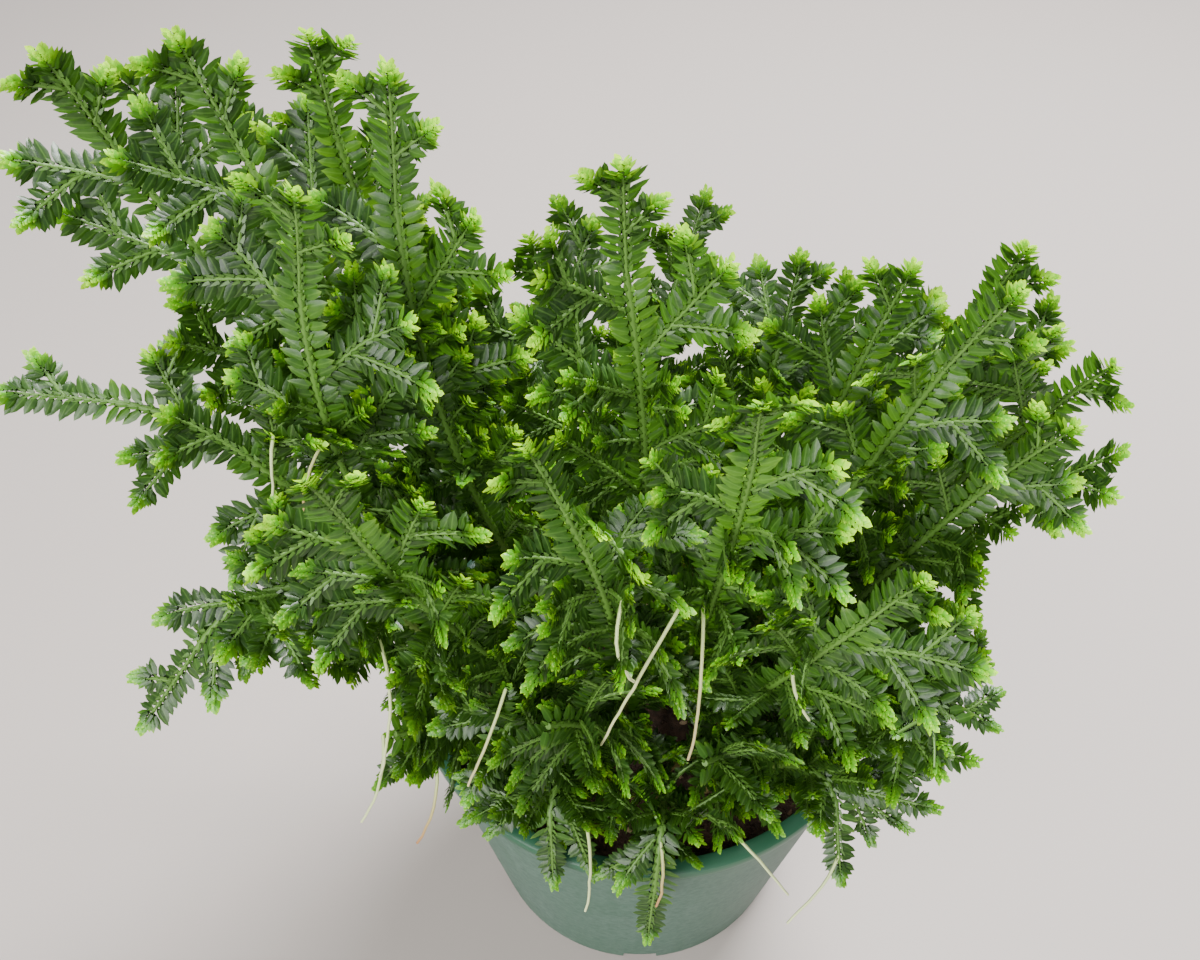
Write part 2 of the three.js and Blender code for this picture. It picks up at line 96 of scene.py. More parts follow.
TESTED_WIDTH = 0.8  # share of a branch's half width that needs room

# What the draws decide, from the least to the most
PLACE_SHIFT = (-0.2, 0.2)  # of a spray along its stem, in spacings
SPRAY_STRETCH = (0.85, 1.15)
END_TURN = (-5, 5)
ROLL_TURN = (-22, 22)
MORE_DROOP = (0, 0.2)
LOBE_ANGLE = (43, 50)
LOBE_STRETCH = (0.9, 1.1)
SPRAY_DRAWS = 7  # for each spray of the solids

# The draws themselves, and the first seed of each kind
DRAW_FACTOR = 16807
DRAW_RANGE = 2147483647
SEED_FACTOR = 7919
ROOT_SEED = 101
LOOK_SEED = 301
FILL_SEED = 501

# Aerial roots of the solids
ROOT_PLACE = (0.2, 0.45)  # share of the stem
ROOT_REACH = (20, 46)
ROOT_OUT = 0.5
ROOT_DOWN = 0.7
ROOT_SAG = 0.25
SHORTEST_ROOT = 12
ROOT_STEP = 4

# Short sprays that fill the gaps between those of the solids, with the same measures
FILL_TRIES = 34
FRONT_TRIES = 40  # more of them on the stems at the front rim
FRONT_FOOT = -20
LONG_FOOT = -15  # stems in front of this have longer ones
LONGER = 5
FILL_PLACE = (0.05, 0.74)  # share of the stem where they grow
FILL_LENGTH = (9, 18)
FILL_ANGLE = (34, 60)
FILL_DROOP = (0, 0.25)
FILL_LOBE_ANGLE = (40, 52)
FILL_LOBE_STRETCH = (0.8, 1.05)
FILL_TURN = (-80, 80)
FILL_ROLLS = (0, 45, -45, 90)
FILL_CLEAR = (1.7, 1.2)
FILL_SHORTEST = 7
FILL_SHORTEST_LOBE = 6
FILL_HALF = 4.0
FILL_FRONT = -60  # they stay behind this
BARE_RIM_TOP = 98  # lower ones also stay behind a y between two x (least x, most x, y)
BARE_RIM = [(6, math.inf, -44), (-math.inf, -28, -51)]
OPENINGS = [((-82, -8, 157), 18), ((-62, -22, 166), 7), ((-96, 6, 200), 10)]  # centre, radius

# Leaves, ribs, stems and added roots
FINEST = 0.8  # size of the lowest leaves against the highest
FINE_HEIGHTS = (85, 195)  # leaves are finest below the first and full-sized above the second
SHADE_HEIGHTS = (115, 210)  # a spray that ends below the first is in full shade
SHADE = 0.4  # how much darker its leaves and tips are
FILL_VIGOUR = 0.75  # brightness of the tips of the short sprays
YOUNG_LENGTH = 6.0  # pale end of a branch
STATION_STEP = 1.5  # between the places on a branch that carry values
WIDENING = 3.5  # length over which the leaves widen at the base of a branch
NARROWING = 5.0  # and over which they narrow at its tip
BASE_LEAF = 0.6
TIP_LEAF = 0.49
LEAF_SPREAD = (20, 64)  # degrees from the branch, young and grown
STEM_LEAF = (2.6, 4.3)  # length of the stem's own leaves, low and high
STEM_LEAF_SPREAD = 62
LEAFY_FROM = 0.14  # share of the stem
WOODY_TO = 0.4
STEM_THICK = (1.15, 0.6)  # radius at the foot and at the end
RIB_THICK = (0.52, 0.34)
ROOT_THICK = (0.4, 0.28)
ROOT_WAVER = 0.5  # how far a root wavers at its end
STEM_STATIONS = 29
LEAF_STATIONS = 25
ROOT_STATIONS = 13

# Camera and light, in metres and degrees
CAMERA_PLACE = (-0.011, -0.167, 0.322)
CAMERA_TILT = 43.8
CAMERA_LENS = 34.5
SENSOR_WIDTH = 36
LIT_POINT = (0, 0, 0.12)
TABLE_HALF = 3

# Name, foot (x, y), knee (x, y, z), tip (x, y, z), longest spray, droop of its sprays, seed of its draws
STEMS = [
    ("far_left", (-32, 4), (-81, 15, 183), (-96, 8, 227), 25, 0, 6722),
    ("left_upper", (-26, 14), (-48, 1, 160), (-77, 10, 232), 27, 0.02, 5939),
    ("left_near", (-28, -6), (-71, -18, 152), (-57, -17, 224), 24, 0.15, 9588),
    ("left_top", (-16, 18), (-54, 23, 156), (-57, 9, 237), 16, 0.07, 9992),
    ("left_inner", (-13, 7), (-48, -14, 157), (-45, 3, 229), 20, 0.02, 4023),
    ("inner_back", (-3, 26), (-15, 16, 148), (-22, 14, 192), 23, 0.1, 2039),
    ("centre", (-5, 9), (4, -14, 144), (-9, -10, 224), 27, 0.02, 8682),
    ("centre_right", (6, -4), (12, -35, 145), (13, -44, 209), 24, 0.3, 9470),
    ("centre_back", (8, 25), (25, 17, 142), (31, 37, 167), 24, 0, 214),
    ("right_back", (16, 14), (31, 3, 140), (46, 13, 185), 23, 0, 3430),
    ("right_top", (24, 10), (57, 14, 136), (65, 10, 194), 26, 0.03, 718),
    ("right", (29, 0), (63, 6, 142), (77, -11, 184), 26, 0.04, 2806),
    ("right_low", (28, -11), (46, -13, 134), (69, -19, 177), 18, 0, 8060),
    ("right_droop", (24, -23), (52, -33, 140), (60, -46, 122), 21, 0.05, 8225),
    ("front_right", (14, -31), (40, -44, 124), (38, -55, 96), 9, 0, 9542),
    ("front", (3, -35), (2, -58, 124), (0, -63, 78), 11, 0.2, 26),
    ("front_left", (-10, -32), (-24, -46, 118), (-21, -54, 91), 17, 0.28, 8162),
    ("left_front", (-21, -25), (-24, -36, 135), (-34, -45, 111), 20, 0, 1845),
    ("left_rim", (-33, -15), (-45, -35, 107), (-56, -40, 113), 13, 0.12, 8432),
    ("right_rim", (33, -16), (49, -10, 104), (62, -18, 107), 27, 0.3, 8264),
    ("left_droop", (-29, -17), (-64, -32, 195), (-92, -44, 135), 13, 0.12, 568),
    ("left_out", (-36, -6), (-74, 0, 174), (-113, -3, 173), 15, 0, 8093),
    ("left_mid_low", (-25, -14), (-58, -20, 155), (-79, -20, 180), 16, 0.3, 4129),
    ("front_mid", (-6, -19), (-3, -44, 153), (-20, -40, 190), 15, 0.21, 1251),
    ("right_front", (12, -18), (26, -49, 152), (37, -48, 166), 27, 0.11, 8390),
    ("right_mid", (17, -7), (32, -15, 153), (53, -15, 201), 17, 0, 1205),
    ("left_mid", (-17, -8), (-44, -40, 148), (-52, -49, 195), 18, 0, 6831),
    ("front_low", (-9, -25), (-11, -45, 132), (-23, -53, 136), 24, 0.12, 616),
    ("front_low_right", (5, -27), (20, -46, 121), (7, -54, 124), 18, 0.13, 9912),
    ("back_left", (-22, 27), (-55, 43, 159), (-82, 58, 192), 25, 0.03, 2719),
    ("back", (2, 37), (-1, 52, 142), (12, 70, 160), 17, 0, 1984),
    ("back_right", (24, 26), (43, 48, 128), (60, 43, 158), 23, 0, 1962),
    ("back_low", (-13, 35), (-33, 62, 134), (-42, 63, 128), 15, 0.2, 4259),
    ("back_low_right", (14, 36), (45, 59, 144), (34, 70, 127), 19, 0, 1269),
]

# Hanging aerial roots: the leafy stem, about where on its branches they start, then the points they pass
HANGING_ROOTS = [
    ("front_mid", (2, -46, 164), (-4, -52, 152), (-11, -52, 129)),
    ("centre_right", (8, -38, 154), (7, -51, 148), (6, -54, 127)),
    ("front_mid", (-9, -46, 168), (-8, -54, 163), (-5, -53, 152)),
    ("right_front", (21, -46, 146), (25, -49, 142), (28, -51, 136)),
    ("left_mid_low", (-68, -22, 184), (-69, -24, 178), (-70, -25, 170)),
    ("left_near", (-60, -17, 178), (-64, -24, 172), (-66, -24, 160)),
    ("left_droop", (-52, -34, 140), (-52, -43, 130), (-56, -48, 110)),
    ("left_rim", (-54, -42, 114), (-57, -47, 105), (-62, -50, 95)),
    ("left_rim", (-46, -44, 108), (-46, -50, 100), (-50, -53, 91)),
    ("front_left", (-12, -54, 108), (-13, -59, 93), (-14, -62, 78)),
    ("front", (2, -58, 101), (2, -62, 94), (1, -64, 85)),
    ("front", (17, -52, 101), (22, -58, 94), (29, -61, 83)),
    ("front_right", (38, -58, 95), (35, -62, 88), (29, -65, 79)),
    ("left_front", (-30, -42, 133), (-33, -50, 126), (-37, -53, 116)),
    ("back", (2, 58, 112), (3, 61, 100), (6, 62, 86)),
    ("back_low", (-32, 60, 112), (-34, 64, 100), (-36, 66, 86)),
    ("right", (54, 4, 116), (57, 4, 106), (58, 2, 93)),
]


def mix(share, low, high):
    return low + (high - low) * share


def share_between(value, low, high):
    return (value - low) / (high - low)


def evenly(count, low, high):
    return [mix(i / (count - 1), low, high) for i in range(count)]


def smooth(share):
    share = min(max(share, 0.0), 1.0)
    return share * share * (3 - 2 * share)


def unit(vector):
    return vector / math.sqrt(vector @ vector)


def cross(a, b):
    return np.array([a[1] * b[2] - a[2] * b[1], a[2] * b[0] - a[0] * b[2], a[0] * b[1] - a[1] * b[0]])


class Draws:
    """Repeatable draws between 0 and 1."""

    def __init__(self, seed):
        self.state = seed * SEED_FACTOR % DRAW_RANGE

    def next(self):
        self.state = self.state * DRAW_FACTOR % DRAW_RANGE
        return self.state / DRAW_RANGE


class Stem:
    """The middle line of one leafy stem, a bow from the soil over the knee to the tip."""

    def __init__(self, row, index):
        self.name, foot, knee, tip, self.longest, self.droop, self.seed = row
        self.index = index
        self.foot = foot
        self.points = [np.array(p, float) for p in ((*foot, STEM_START), knee, tip)]
        self.samples = [self.at(t) for t in evenly(STEM_SAMPLES, 0, 1)]
        self.length = sum(math.dist(a, b) for a, b in zip(self.samples, self.samples[1:]))
        self.sprays = []

    def at(self, t):
        a, b, c = self.points
        return a * (1 - t) ** 2 + b * (2 * (1 - t) * t) + c * t ** 2

    def velocity(self, t):
        a, b, c = self.points
        return (b - a) * (2 * (1 - t)) + (c - b) * (2 * t)

    def speed(self, t):
        return math.sqrt(self.velocity(t) @ self.velocity(t))

    def nearest(self, point):
        """The place on this stem or its branches that is nearest to a point."""
        places = list(self.samples)
        for _, spray in self.sprays:
            for branch in [spray] + spray.lobes:
                places += [branch.at(s) for s in np.arange(0, branch.length, 2)]
        return min(places, key=lambda place: math.dist(place, point))

    def frame(self, t):
        heading = unit(self.velocity(t))
        across = cross(LIGHT, heading) + SIDE_TURN
        across = unit(across - heading * (across @ heading))
        return heading, across, cross(heading, across)


class Room:
    """The points that the plant fills, kept in small cells so that near ones are found quickly."""

    def __init__(self):
        self.cells = {}
        self.mouth_open = False

    def cell(self, point):
        return tuple(int(math.floor(x / BRANCH_CLEAR)) for x in point)

    def add(self, point, stem, bare):
        self.cells.setdefault(self.cell(point), []).append((tuple(point), stem, bare))

    def blocked(self, point, stem, clear):
        x, y, z = point
        radius = math.hypot(x, y)
        in_mouth = self.mouth_open and radius < LIP_INNER_RADIUS - POT_CLEAR and z > SOIL_CROWN + POT_CLEAR
        if max(z - POT_HEIGHT, radius - LIP_RADIUS) < POT_CLEAR and not in_mouth:
            return True
        i, j, k = self.cell(point)
        for cell in ((i + a, j + b, k + c) for a in (-1, 0, 1) for b in (-1, 0, 1) for c in (-1, 0, 1)):
            for (px, py, pz), other, bare in self.cells.get(cell, ()):
                near = clear[bare and other is stem]
                if (px - x) ** 2 + (py - y) ** 2 + (pz - z) ** 2 < near ** 2:
                    return True
        return False


class Branch:
    """A flat leafy branch: a drooping line with a face direction."""

    def __init__(self, start, heading, face, length, droop, half):
        self.start, self.heading, self.face = start, heading, face
        self.length = self.full_length = length
        self.droop = droop
        self.half = half
        self.lobes = []

    def at(self, s):
        bend = s * s / self.full_length
        return self.start + self.heading * s + self.face * (LIFT * bend) - UP * (self.droop * bend)

    def frame(self, s):
        forward = unit(self.at(s + 0.5) - self.at(s - 0.5))
        face = unit(self.face - forward * (self.face @ forward))
        return forward, face, cross(face, forward)

    def steps(self):
        s = SPRAY_CLEAR
        while s <= self.length + 1e-9:
            yield s
            s += SAMPLE_STEP

    def across(self, s):
        left = self.frame(s)[2]
        reach = self.half * TESTED_WIDTH
        return [self.at(s) + left * offset for offset in (-reach, 0, reach)]

    def fit(self, stem, room, clear):
        for s in self.steps():
            if any(room.blocked(point, stem, clear) for point in self.across(s)):
                self.length = s - SAMPLE_STEP
                break
        if self.length < SPRAY_CLEAR:
            self.length = 0
        return self

    def fill(self, stem, room):
        for s in self.steps():
            for point in self.across(s):
                room.add(point, stem, False)


def spray_face(flat, direction, above):
    """A spray turns its face from the plane of its fork toward the light, but only so far."""
    flat = unit(flat - direction * (flat @ direction))
    lit = LIGHT + above * FACE_TURN
    lit = unit(lit - direction * (lit @ direction))
    sideways = cross(direction, flat)
    angle = math.atan2(lit @ sideways, lit @ flat)
    angle = min(max(angle, -math.radians(TWIST)), math.radians(TWIST))
    return flat * math.cos(angle) + sideways * math.sin(angle)


def leaning(stem, t, side, angle, roll, length, droop, half, last=False):
    """A branch from the side of a stem, or from its end."""
    heading, across, above = stem.frame(t)
    direction = heading * math.cos(angle) + across * (math.cos(roll) * side * math.sin(angle))
    direction = unit(direction + above * (math.sin(roll) * math.sin(angle)))
    flat = above if last else cross(heading, direction) * side
    face = spray_face(flat, direction, above)
    start = stem.at(t) + across * (0 if last else side * STEM_HALF_WIDTH)
    return Branch(start, direction, face, length, droop, half)


def roomiest(sprays, stem, room, clear):
    """The first of these sprays, or a later one that finds clearly more room."""
    best = None
    for spray in sprays:
        spray.fit(stem, room, clear)
        if best is None or spray.length > best.length + SAMPLE_STEP:
            best = spray
    return best


def add_lobes(spray, side, stem, room, fork, longest, stretch, clear, shortest):
    """Side branches of a spray, first to one side and then to the other."""
    lobe_side, segment = side, 1
    while LOBE_START + segment * LEAF_PITCH <= spray.length - TIP_LENGTH:
        s = LOBE_START + (segment - 0.5) * LEAF_PITCH
        forward, face, left = spray.frame(s)
        length = min(longest, (spray.length - s) * 0.5 + 8) * stretch
        heading = unit(forward * math.cos(fork) + left * (lobe_side * math.sin(fork)))
        lobe = Branch(spray.at(s), heading, face, length, spray.droop * 0.6, LOBE_HALF)
        lobe.fit(stem, room, clear)
        if lobe.length >= shortest:
            spray.lobes.append(lobe)
        lobe_side = -lobe_side
        segment += 2 if lobe_side == side else 1


def keep_spray(stem, t, spray, room):
    stem.sprays.append((t, spray))
    spray.fill(stem, room)
    for lobe in spray.lobes:
        lobe.fill(stem, room)


def grow_spray(stem, k, row, room):
    """One spray of the solids, with forks to either side. The last one continues its stem."""
    last = k == stem.spray_count
    t = END_SPRAY if last else mix(
        (k + mix(row[0], *PLACE_SHIFT)) / (stem.spray_count - 1), FIRST_SPRAY, LAST_SIDE_SPRAY)
    reach = (2 * FORK_HALF + 1) / stem.speed(t)
    if any(abs(other - t) < reach for other, _ in stem.sprays) or t + reach > (1 if last else END_SPRAY):
        return
    side = 1 if k % 2 else -1
    fullness = 0.7 + 0.45 * math.sin(math.pi * t)
    length = stem.longest * fullness * mix(row[1], *SPRAY_STRETCH)
    if last:
        length = (1 - END_SPRAY) * stem.length + 8
    angle = math.radians(mix(row[2], *(END_TURN if last else SPRAY_ANGLE)))
    droop = (stem.droop + mix(row[4], *MORE_DROOP)) * (END_DROOP if last else 1)
    rolls = [math.radians(mix(row[3], *ROLL_TURN) + turn) for turn in ((0,) if last else ROLLS)]
    spray = roomiest([leaning(stem, t, side, angle, roll, length, droop, BRANCH_HALF, last)
                      for roll in rolls], stem, room, CLEAR)
    if spray.length < SHORTEST_SPRAY:
        return
    fork, stretch = math.radians(mix(row[5], *LOBE_ANGLE)), mix(row[6], *LOBE_STRETCH)
    longest = LONGEST_END_LOBE if last else LONGEST_LOBE
    add_lobes(spray, side, stem, room, fork, longest, stretch, CLEAR, SHORTEST_LOBE)
    keep_spray(stem, t, spray, room)


def in_the_way(branch, bare_rim=()):
    """Whether a short branch reaches into an opening, or ends over the bare rim or too far forward."""
    x, y, z = branch.at(branch.length)
    over_rim = z < BARE_RIM_TOP and any(low < x < high and y < front for low, high, front in bare_rim)
    in_opening = any(math.dist(branch.at(s), centre) < radius
                     for centre, radius in OPENINGS for s in branch.steps())
    return over_rim or in_opening or y <= FILL_FRONT


def fill_gaps(stem, draws, room):
    """One short spray where there is still room beside a stem."""
    t = mix(draws.next(), *FILL_PLACE)
    side = 1 if draws.next() > 0.5 else -1
    length = mix(draws.next(), *FILL_LENGTH) + (LONGER if stem.foot[1] < LONG_FOOT else 0)
    angle = math.radians(mix(draws.next(), *FILL_ANGLE))
    droop = stem.droop + mix(draws.next(), *FILL_DROOP)
    fork = math.radians(mix(draws.next(), *FILL_LOBE_ANGLE))
    stretch = mix(draws.next(), *FILL_LOBE_STRETCH)
    first_roll = mix(draws.next(), *FILL_TURN)
    rolls = [math.radians(first_roll + turn) for turn in FILL_ROLLS]
    spray = roomiest([leaning(stem, t, side, angle, roll, length, droop, FILL_HALF) for roll in rolls],
                     stem, room, FILL_CLEAR)
    if spray.length >= FILL_SHORTEST and not in_the_way(spray, BARE_RIM):
        add_lobes(spray, side, stem, room, fork, LONGEST_LOBE, stretch, FILL_CLEAR, FILL_SHORTEST_LOBE)
        spray.lobes = [lobe for lobe in spray.lobes if not in_the_way(lobe)]
        keep_spray(stem, t, spray, room)


def grow_plant():
    stems = [Stem(row, index) for index, row in enumerate(STEMS)]
    room = Room()
    for stem in stems:
        for point in stem.samples[:math.floor(STEM_SAMPLES * END_SPRAY)]:
            room.add(point, stem, True)
    rows = {}
    for stem in stems:
        draws = Draws(stem.seed)
        leafy_length = (LAST_SIDE_SPRAY - FIRST_SPRAY) * stem.length
        stem.spray_count = max(2, math.floor(leafy_length / SPRAY_SPACING + 0.5))
        rows[stem.name] = [[draws.next() for _ in range(SPRAY_DRAWS)] for _ in range(stem.spray_count + 1)]
    for level in range(max(stem.spray_count for stem in stems) + 1):
        for stem in stems:
            k = stem.spray_count - level
            if k >= 0:
                grow_spray(stem, k, rows[stem.name][k], room)
    for stem in stems:
        stem.solid_sprays = len(stem.sprays)
    room.mouth_open = True
    fill_draws = {stem.name: Draws(stem.index + FILL_SEED) for stem in stems}
    for level in range(FILL_TRIES + FRONT_TRIES):
        for stem in stems:
            if level < FILL_TRIES or stem.foot[1] < FRONT_FOOT:
                fill_gaps(stem, fill_draws[stem.name], room)
    return stems, room


def root_points(stem, room):
    """The hanging aerial root of the solids, stopped where it would leave its stem's room."""
    draws = Draws(stem.index + ROOT_SEED)
    t = mix(draws.next(), *ROOT_PLACE)
    turn = draws.next() * 2 * math.pi
    reach = mix(draws.next(), *ROOT_REACH)
    start = stem.at(t)
    heading = unit(np.array([math.cos(turn) * ROOT_OUT, math.sin(turn) * ROOT_OUT, -ROOT_DOWN]))

    def along(s):
        return start + heading * s - UP * (ROOT_SAG * s * s / reach)

    length = 0
    while length + ROOT_STEP <= reach and not room.blocked(along(length + ROOT_STEP), stem, CLEAR):
        length += ROOT_STEP
    return None if length < SHORTEST_ROOT else [start, along(length / 2), along(length)]


def node(tree, kind, inputs=None, out=0, **settings):
    """Adds one node and gives one of its outputs. An input is a value, a socket that feeds it, or a list
    of sockets that are joined there. With out=None it gives the node itself."""
    made = tree.nodes.new(kind)
    for name, value in settings.items():
        setattr(made, name, value)
    for key, value in (inputs or {}).items():
        sources = value if isinstance(value, list) else [value]
        if isinstance(sources[0], bpy.types.NodeSocket):
            for source in sources:
                tree.links.new(source, made.inputs[key])
        else:
            made.inputs[key].default_value = value
    return made if out is None else made.outputs[out]


# Settings that many nodes share
COLOURS = {"out": 2, "data_type": "RGBA"}
TIMES = {"operation": "MULTIPLY"}
BY_LENGTH = {"mode": "LENGTH"}
VECTORS = {"data_type": "FLOAT_VECTOR"}


def linear(code):
    """A colour written as sRGB hex, turned linear."""
    parts = [int(code[i:i + 2], 16) / 255 for i in (1, 3, 5)]
    return [c / 12.92 if c <= 0.04045 else ((c + 0.055) / 1.055) ** 2.4 for c in parts] + [1.0]


def finish_of(shader):
    """A material that is named for the function that gives its shader."""
    finish = bpy.data.materials.new(shader.__name__)
    finish.use_nodes = True
    finish.node_tree.nodes.clear()
    add = functools.partial(node, finish.node_tree)
    add("ShaderNodeOutputMaterial", {0: shader(add)}, None)
    return finish


def spikemoss_leaf(add):
    # Living spikemoss leaf: a thin green blade under a waxy skin, grown, not made. The skin gives a soft
    # grey-white gloss, light that passes through the blade is yellow-green, young leaves are paler, and
    # their pointed ends are paler still.
    youth, tint, own = (add("ShaderNodeAttribute", attribute_name=name, out="Fac")
                        for name in ("youth", "tint", "leaf_tint"))
    place = add("ShaderNodeAttribute", attribute_name="leaf_uv", out="Vector")
    along, sideways = (add("ShaderNodeSeparateXYZ", {0: place}, axis) for axis in ("X", "Y"))
    where = add("ShaderNodeTexCoord", out="Object")

    darker = add("ShaderNodeMapRange", {0: own, 1: 0.0, 2: 1.0, 3: 0.0, 4: 0.45})
    # The small middle leaves carry a tint above 1: they are paler than the side leaves
    middle = add("ShaderNodeMapRange", {0: own, 1: 1.0, 2: 1.05, 3: 0.0, 4: 0.36})
    # Leaf cells are about 0.05 mm, too fine to show, so the mottle is drawn 0.9 mm across
    cells = add("ShaderNodeTexNoise", {"Vector": where, "Scale": 1 / (0.9 * MM), "Detail": 3.0}, "Fac")
    mottle = add("ShaderNodeMapRange", {0: cells, 1: 0.35, 2: 0.7, 3: 0.0, 4: 0.22})
    off_vein = add("ShaderNodeMath", {0: sideways, 1: 0.5}, operation="SUBTRACT")
    off_vein = add("ShaderNodeMath", {0: off_vein}, operation="ABSOLUTE")
    vein = add("ShaderNodeMapRange", {0: off_vein, 1: 0.0, 2: 0.09, 3: 0.35, 4: 0.0})
    growing = add("ShaderNodeMapRange", {0: youth, 1: 0.12, 2: 0.65})
    newest = add("ShaderNodeMapRange", {0: youth, 1: 0.6, 2: 1.0})
    point = add("ShaderNodeMapRange", {0: along, 1: 0.72, 2: 0.97})
    point = add("ShaderNodeMath", {0: point, 1: growing}, **TIMES)
    # Each spray's tint also carries the painted shade of low sprays
    green = add("ShaderNodeMix", {0: tint, 6: linear("#0f2605"), 7: linear("#294a0e")}, **COLOURS)
    for share, code in (
            (darker, "#193a10"), (middle, "#608a30"), (mottle, "#4d6e2b"), (vein, "#668e3e"),
            (growing, "#60b010"), (newest, "#bcf216"), (point, "#c6f23a")):
        green = add("ShaderNodeMix", {0: share, 6: green, 7: linear(code)}, **COLOURS)

    bump = add("ShaderNodeBump", {"Strength": 0.3, "Distance": 0.0002, "Height": cells})
    skin = add("ShaderNodeBsdfPrincipled", {
        "Base Color": green, "Roughness": 0.36, "IOR": 1.5, "Normal": bump})
    glow = add("ShaderNodeMix", {0: growing, 6: linear("#45780e"), 7: linear("#c2f424")}, **COLOURS)
    blade = add("ShaderNodeBsdfTranslucent", {"Color": glow})
    return add("ShaderNodeMixShader", {0: 0.29, 1: skin, 2: blade})


def spikemoss_stem(add):
    # Soft living stem: tan and dry near the soil, yellow-green higher up, satin.
    woody = add("ShaderNodeAttribute", attribute_name="woody", out="Fac")
    where = add("ShaderNodeTexCoord", out="Object")
    patches = add("ShaderNodeTexNoise", {"Vector": where, "Scale": 1 / (3 * MM), "Detail": 4.0}, "Fac")
    low = add("ShaderNodeMix", {0: patches, 6: linear("#7a683d"), 7: linear("#9b8957")}, **COLOURS)
    high = add("ShaderNodeMix", {0: patches, 6: linear("#40621d"), 7: linear("#577c31")}, **COLOURS)
    colour = add("ShaderNodeMix", {0: woody, 6: high, 7: low}, **COLOURS)
    bump = add("ShaderNodeBump", {"Strength": 0.3, "Distance": 0.0003, "Height": patches})
    return add("ShaderNodeBsdfPrincipled", {
        "Base Color": colour, "Roughness": 0.5, "IOR": 1.45, "Normal": bump})


def aerial_root(add):
    # Aerial root: a smooth straw-coloured fibre, drier and browner toward its end.
    far, tint = (add("ShaderNodeAttribute", attribute_name=name, out="Fac") for name in ("youth", "tint"))
    dryness = add("ShaderNodeMapRange", {0: tint, 1: 0.6, 2: 0.85})
    dry = add("ShaderNodeMix", {0: dryness, 6: linear("#c3cc94"), 7: linear("#a5764a")}, **COLOURS)
    colour = add("ShaderNodeMix", {0: far, 6: linear("#a9ba74"), 7: dry}, **COLOURS)
    return add("ShaderNodeBsdfPrincipled", {"Base Color": colour, "Roughness": 0.45, "IOR": 1.45})


def dusty_moulded_polypropylene(add):
    # Injection-moulded polypropylene: a rubbed glossy lip, and a wall dulled by grey potting dust
    # and water marks, with a few specks of soil.
    where = add("ShaderNodeTexCoord", out="Object")
    height = add("ShaderNodeSeparateXYZ", {0: where}, "Z")
    wall_top = (POT_HEIGHT - LIP_HEIGHT) * MM
    on_wall = add("ShaderNodeMapRange", {0: height, 1: wall_top + 0.0004, 2: wall_top - 0.0006})
    # Clouds of dust, its grains, drawn 1.6 mm across so that they show, and specks of soil
    clouds, grains, specks = (
        add("ShaderNodeTexNoise", {
            "Vector": where, "Scale": 1 / (size * MM), "Detail": detail, "Roughness": roughness}, "Fac")
        for size, detail, roughness in ((22, 5.0, 0.6), (1.6, 3.0, 0.7), (4, 4.0, 0.8)))
    runs = add("ShaderNodeMapping", {"Vector": where, "Scale": (1.0, 1.0, 0.08)})
    runs = add("ShaderNodeTexNoise", {"Vector": runs, "Scale": 1 / (4 * MM), "Detail": 2.0}, "Fac")
    dust = add("ShaderNodeMapRange", {0: clouds, 1: 0.3, 2: 0.75, 3: 0.55, 4: 0.95})
    marks = add("ShaderNodeMapRange", {0: runs, 1: 0.56, 2: 0.7, 3: 1.0, 4: 0.75})
    dust = add("ShaderNodeMath", {0: dust, 1: marks}, **TIMES)
    dust = add("ShaderNodeMath", {0: dust, 1: on_wall}, **TIMES)
    grey = add("ShaderNodeMapRange", {0: grains, 1: 0.35, 2: 0.65})
    film = add("ShaderNodeMix", {0: grey, 6: linear("#3e5348"), 7: linear("#52685c")}, **COLOURS)
    colour = add("ShaderNodeMix", {0: dust, 6: linear("#224c35"), 7: film}, **COLOURS)
    dirt = add("ShaderNodeMapRange", {0: specks, 1: 0.68, 2: 0.74})
    dirt = add("ShaderNodeMath", {0: dirt, 1: on_wall}, **TIMES)
    colour = add("ShaderNodeMix", {0: dirt, 6: colour, 7: linear("#4a3d2a")}, **COLOURS)
    rough = add("ShaderNodeMapRange", {0: dust, 1: 0.0, 2: 1.0, 3: 0.42, 4: 0.72})
    bump = add("ShaderNodeBump", {"Strength": 0.1, "Distance": 0.0002, "Height": grains})
    return add("ShaderNodeBsdfPrincipled", {
        "Base Color": colour, "Roughness": rough, "IOR": 1.49, "Normal": bump})


def moist_peat(add):
    # Moist milled peat: dark brown, crumbly, with a faint damp gloss.
    where = add("ShaderNodeTexCoord", out="Object")
    crumbs = add("ShaderNodeTexNoise", {
        "Vector": where, "Scale": 1 / (1.8 * MM), "Detail": 5.0, "Roughness": 0.65}, "Fac")
    shade = add("ShaderNodeMapRange", {0: crumbs, 1: 0.3, 2: 0.7})
    colour = add("ShaderNodeMix", {0: shade, 6: linear("#1c130d"), 7: linear("#4a3526")}, **COLOURS)
    bump = add("ShaderNodeBump", {"Strength": 0.7, "Distance": 0.001, "Height": crumbs})
    return add("ShaderNodeBsdfPrincipled", {
        "Base Color": colour, "Roughness": 0.85, "IOR": 1.4, "Normal": bump})


def bark_chips(add):
    # Chipped bark and wood in the peat: dry, fibrous, tan to brown.
    own = add("ShaderNodeAttribute", attribute_name="leaf_tint", out="Fac")
    where = add("ShaderNodeTexCoord", out="Object")
    # Wood fibres are about 0.05 mm, too fine to show, so they are drawn 0.6 mm across
    fibres = add("ShaderNodeTexNoise", {"Vector": where, "Scale": 1 / (0.6 * MM), "Detail": 2.0}, "Fac")
    colour = add("ShaderNodeMix", {0: own, 6: linear("#5a3f2a"), 7: linear("#b59a78")}, **COLOURS)
    bump = add("ShaderNodeBump", {"Strength": 0.5, "Distance": 0.0003, "Height": fibres})
    return add("ShaderNodeBsdfPrincipled", {
        "Base Color": colour, "Roughness": 0.8, "IOR": 1.4, "Normal": bump})


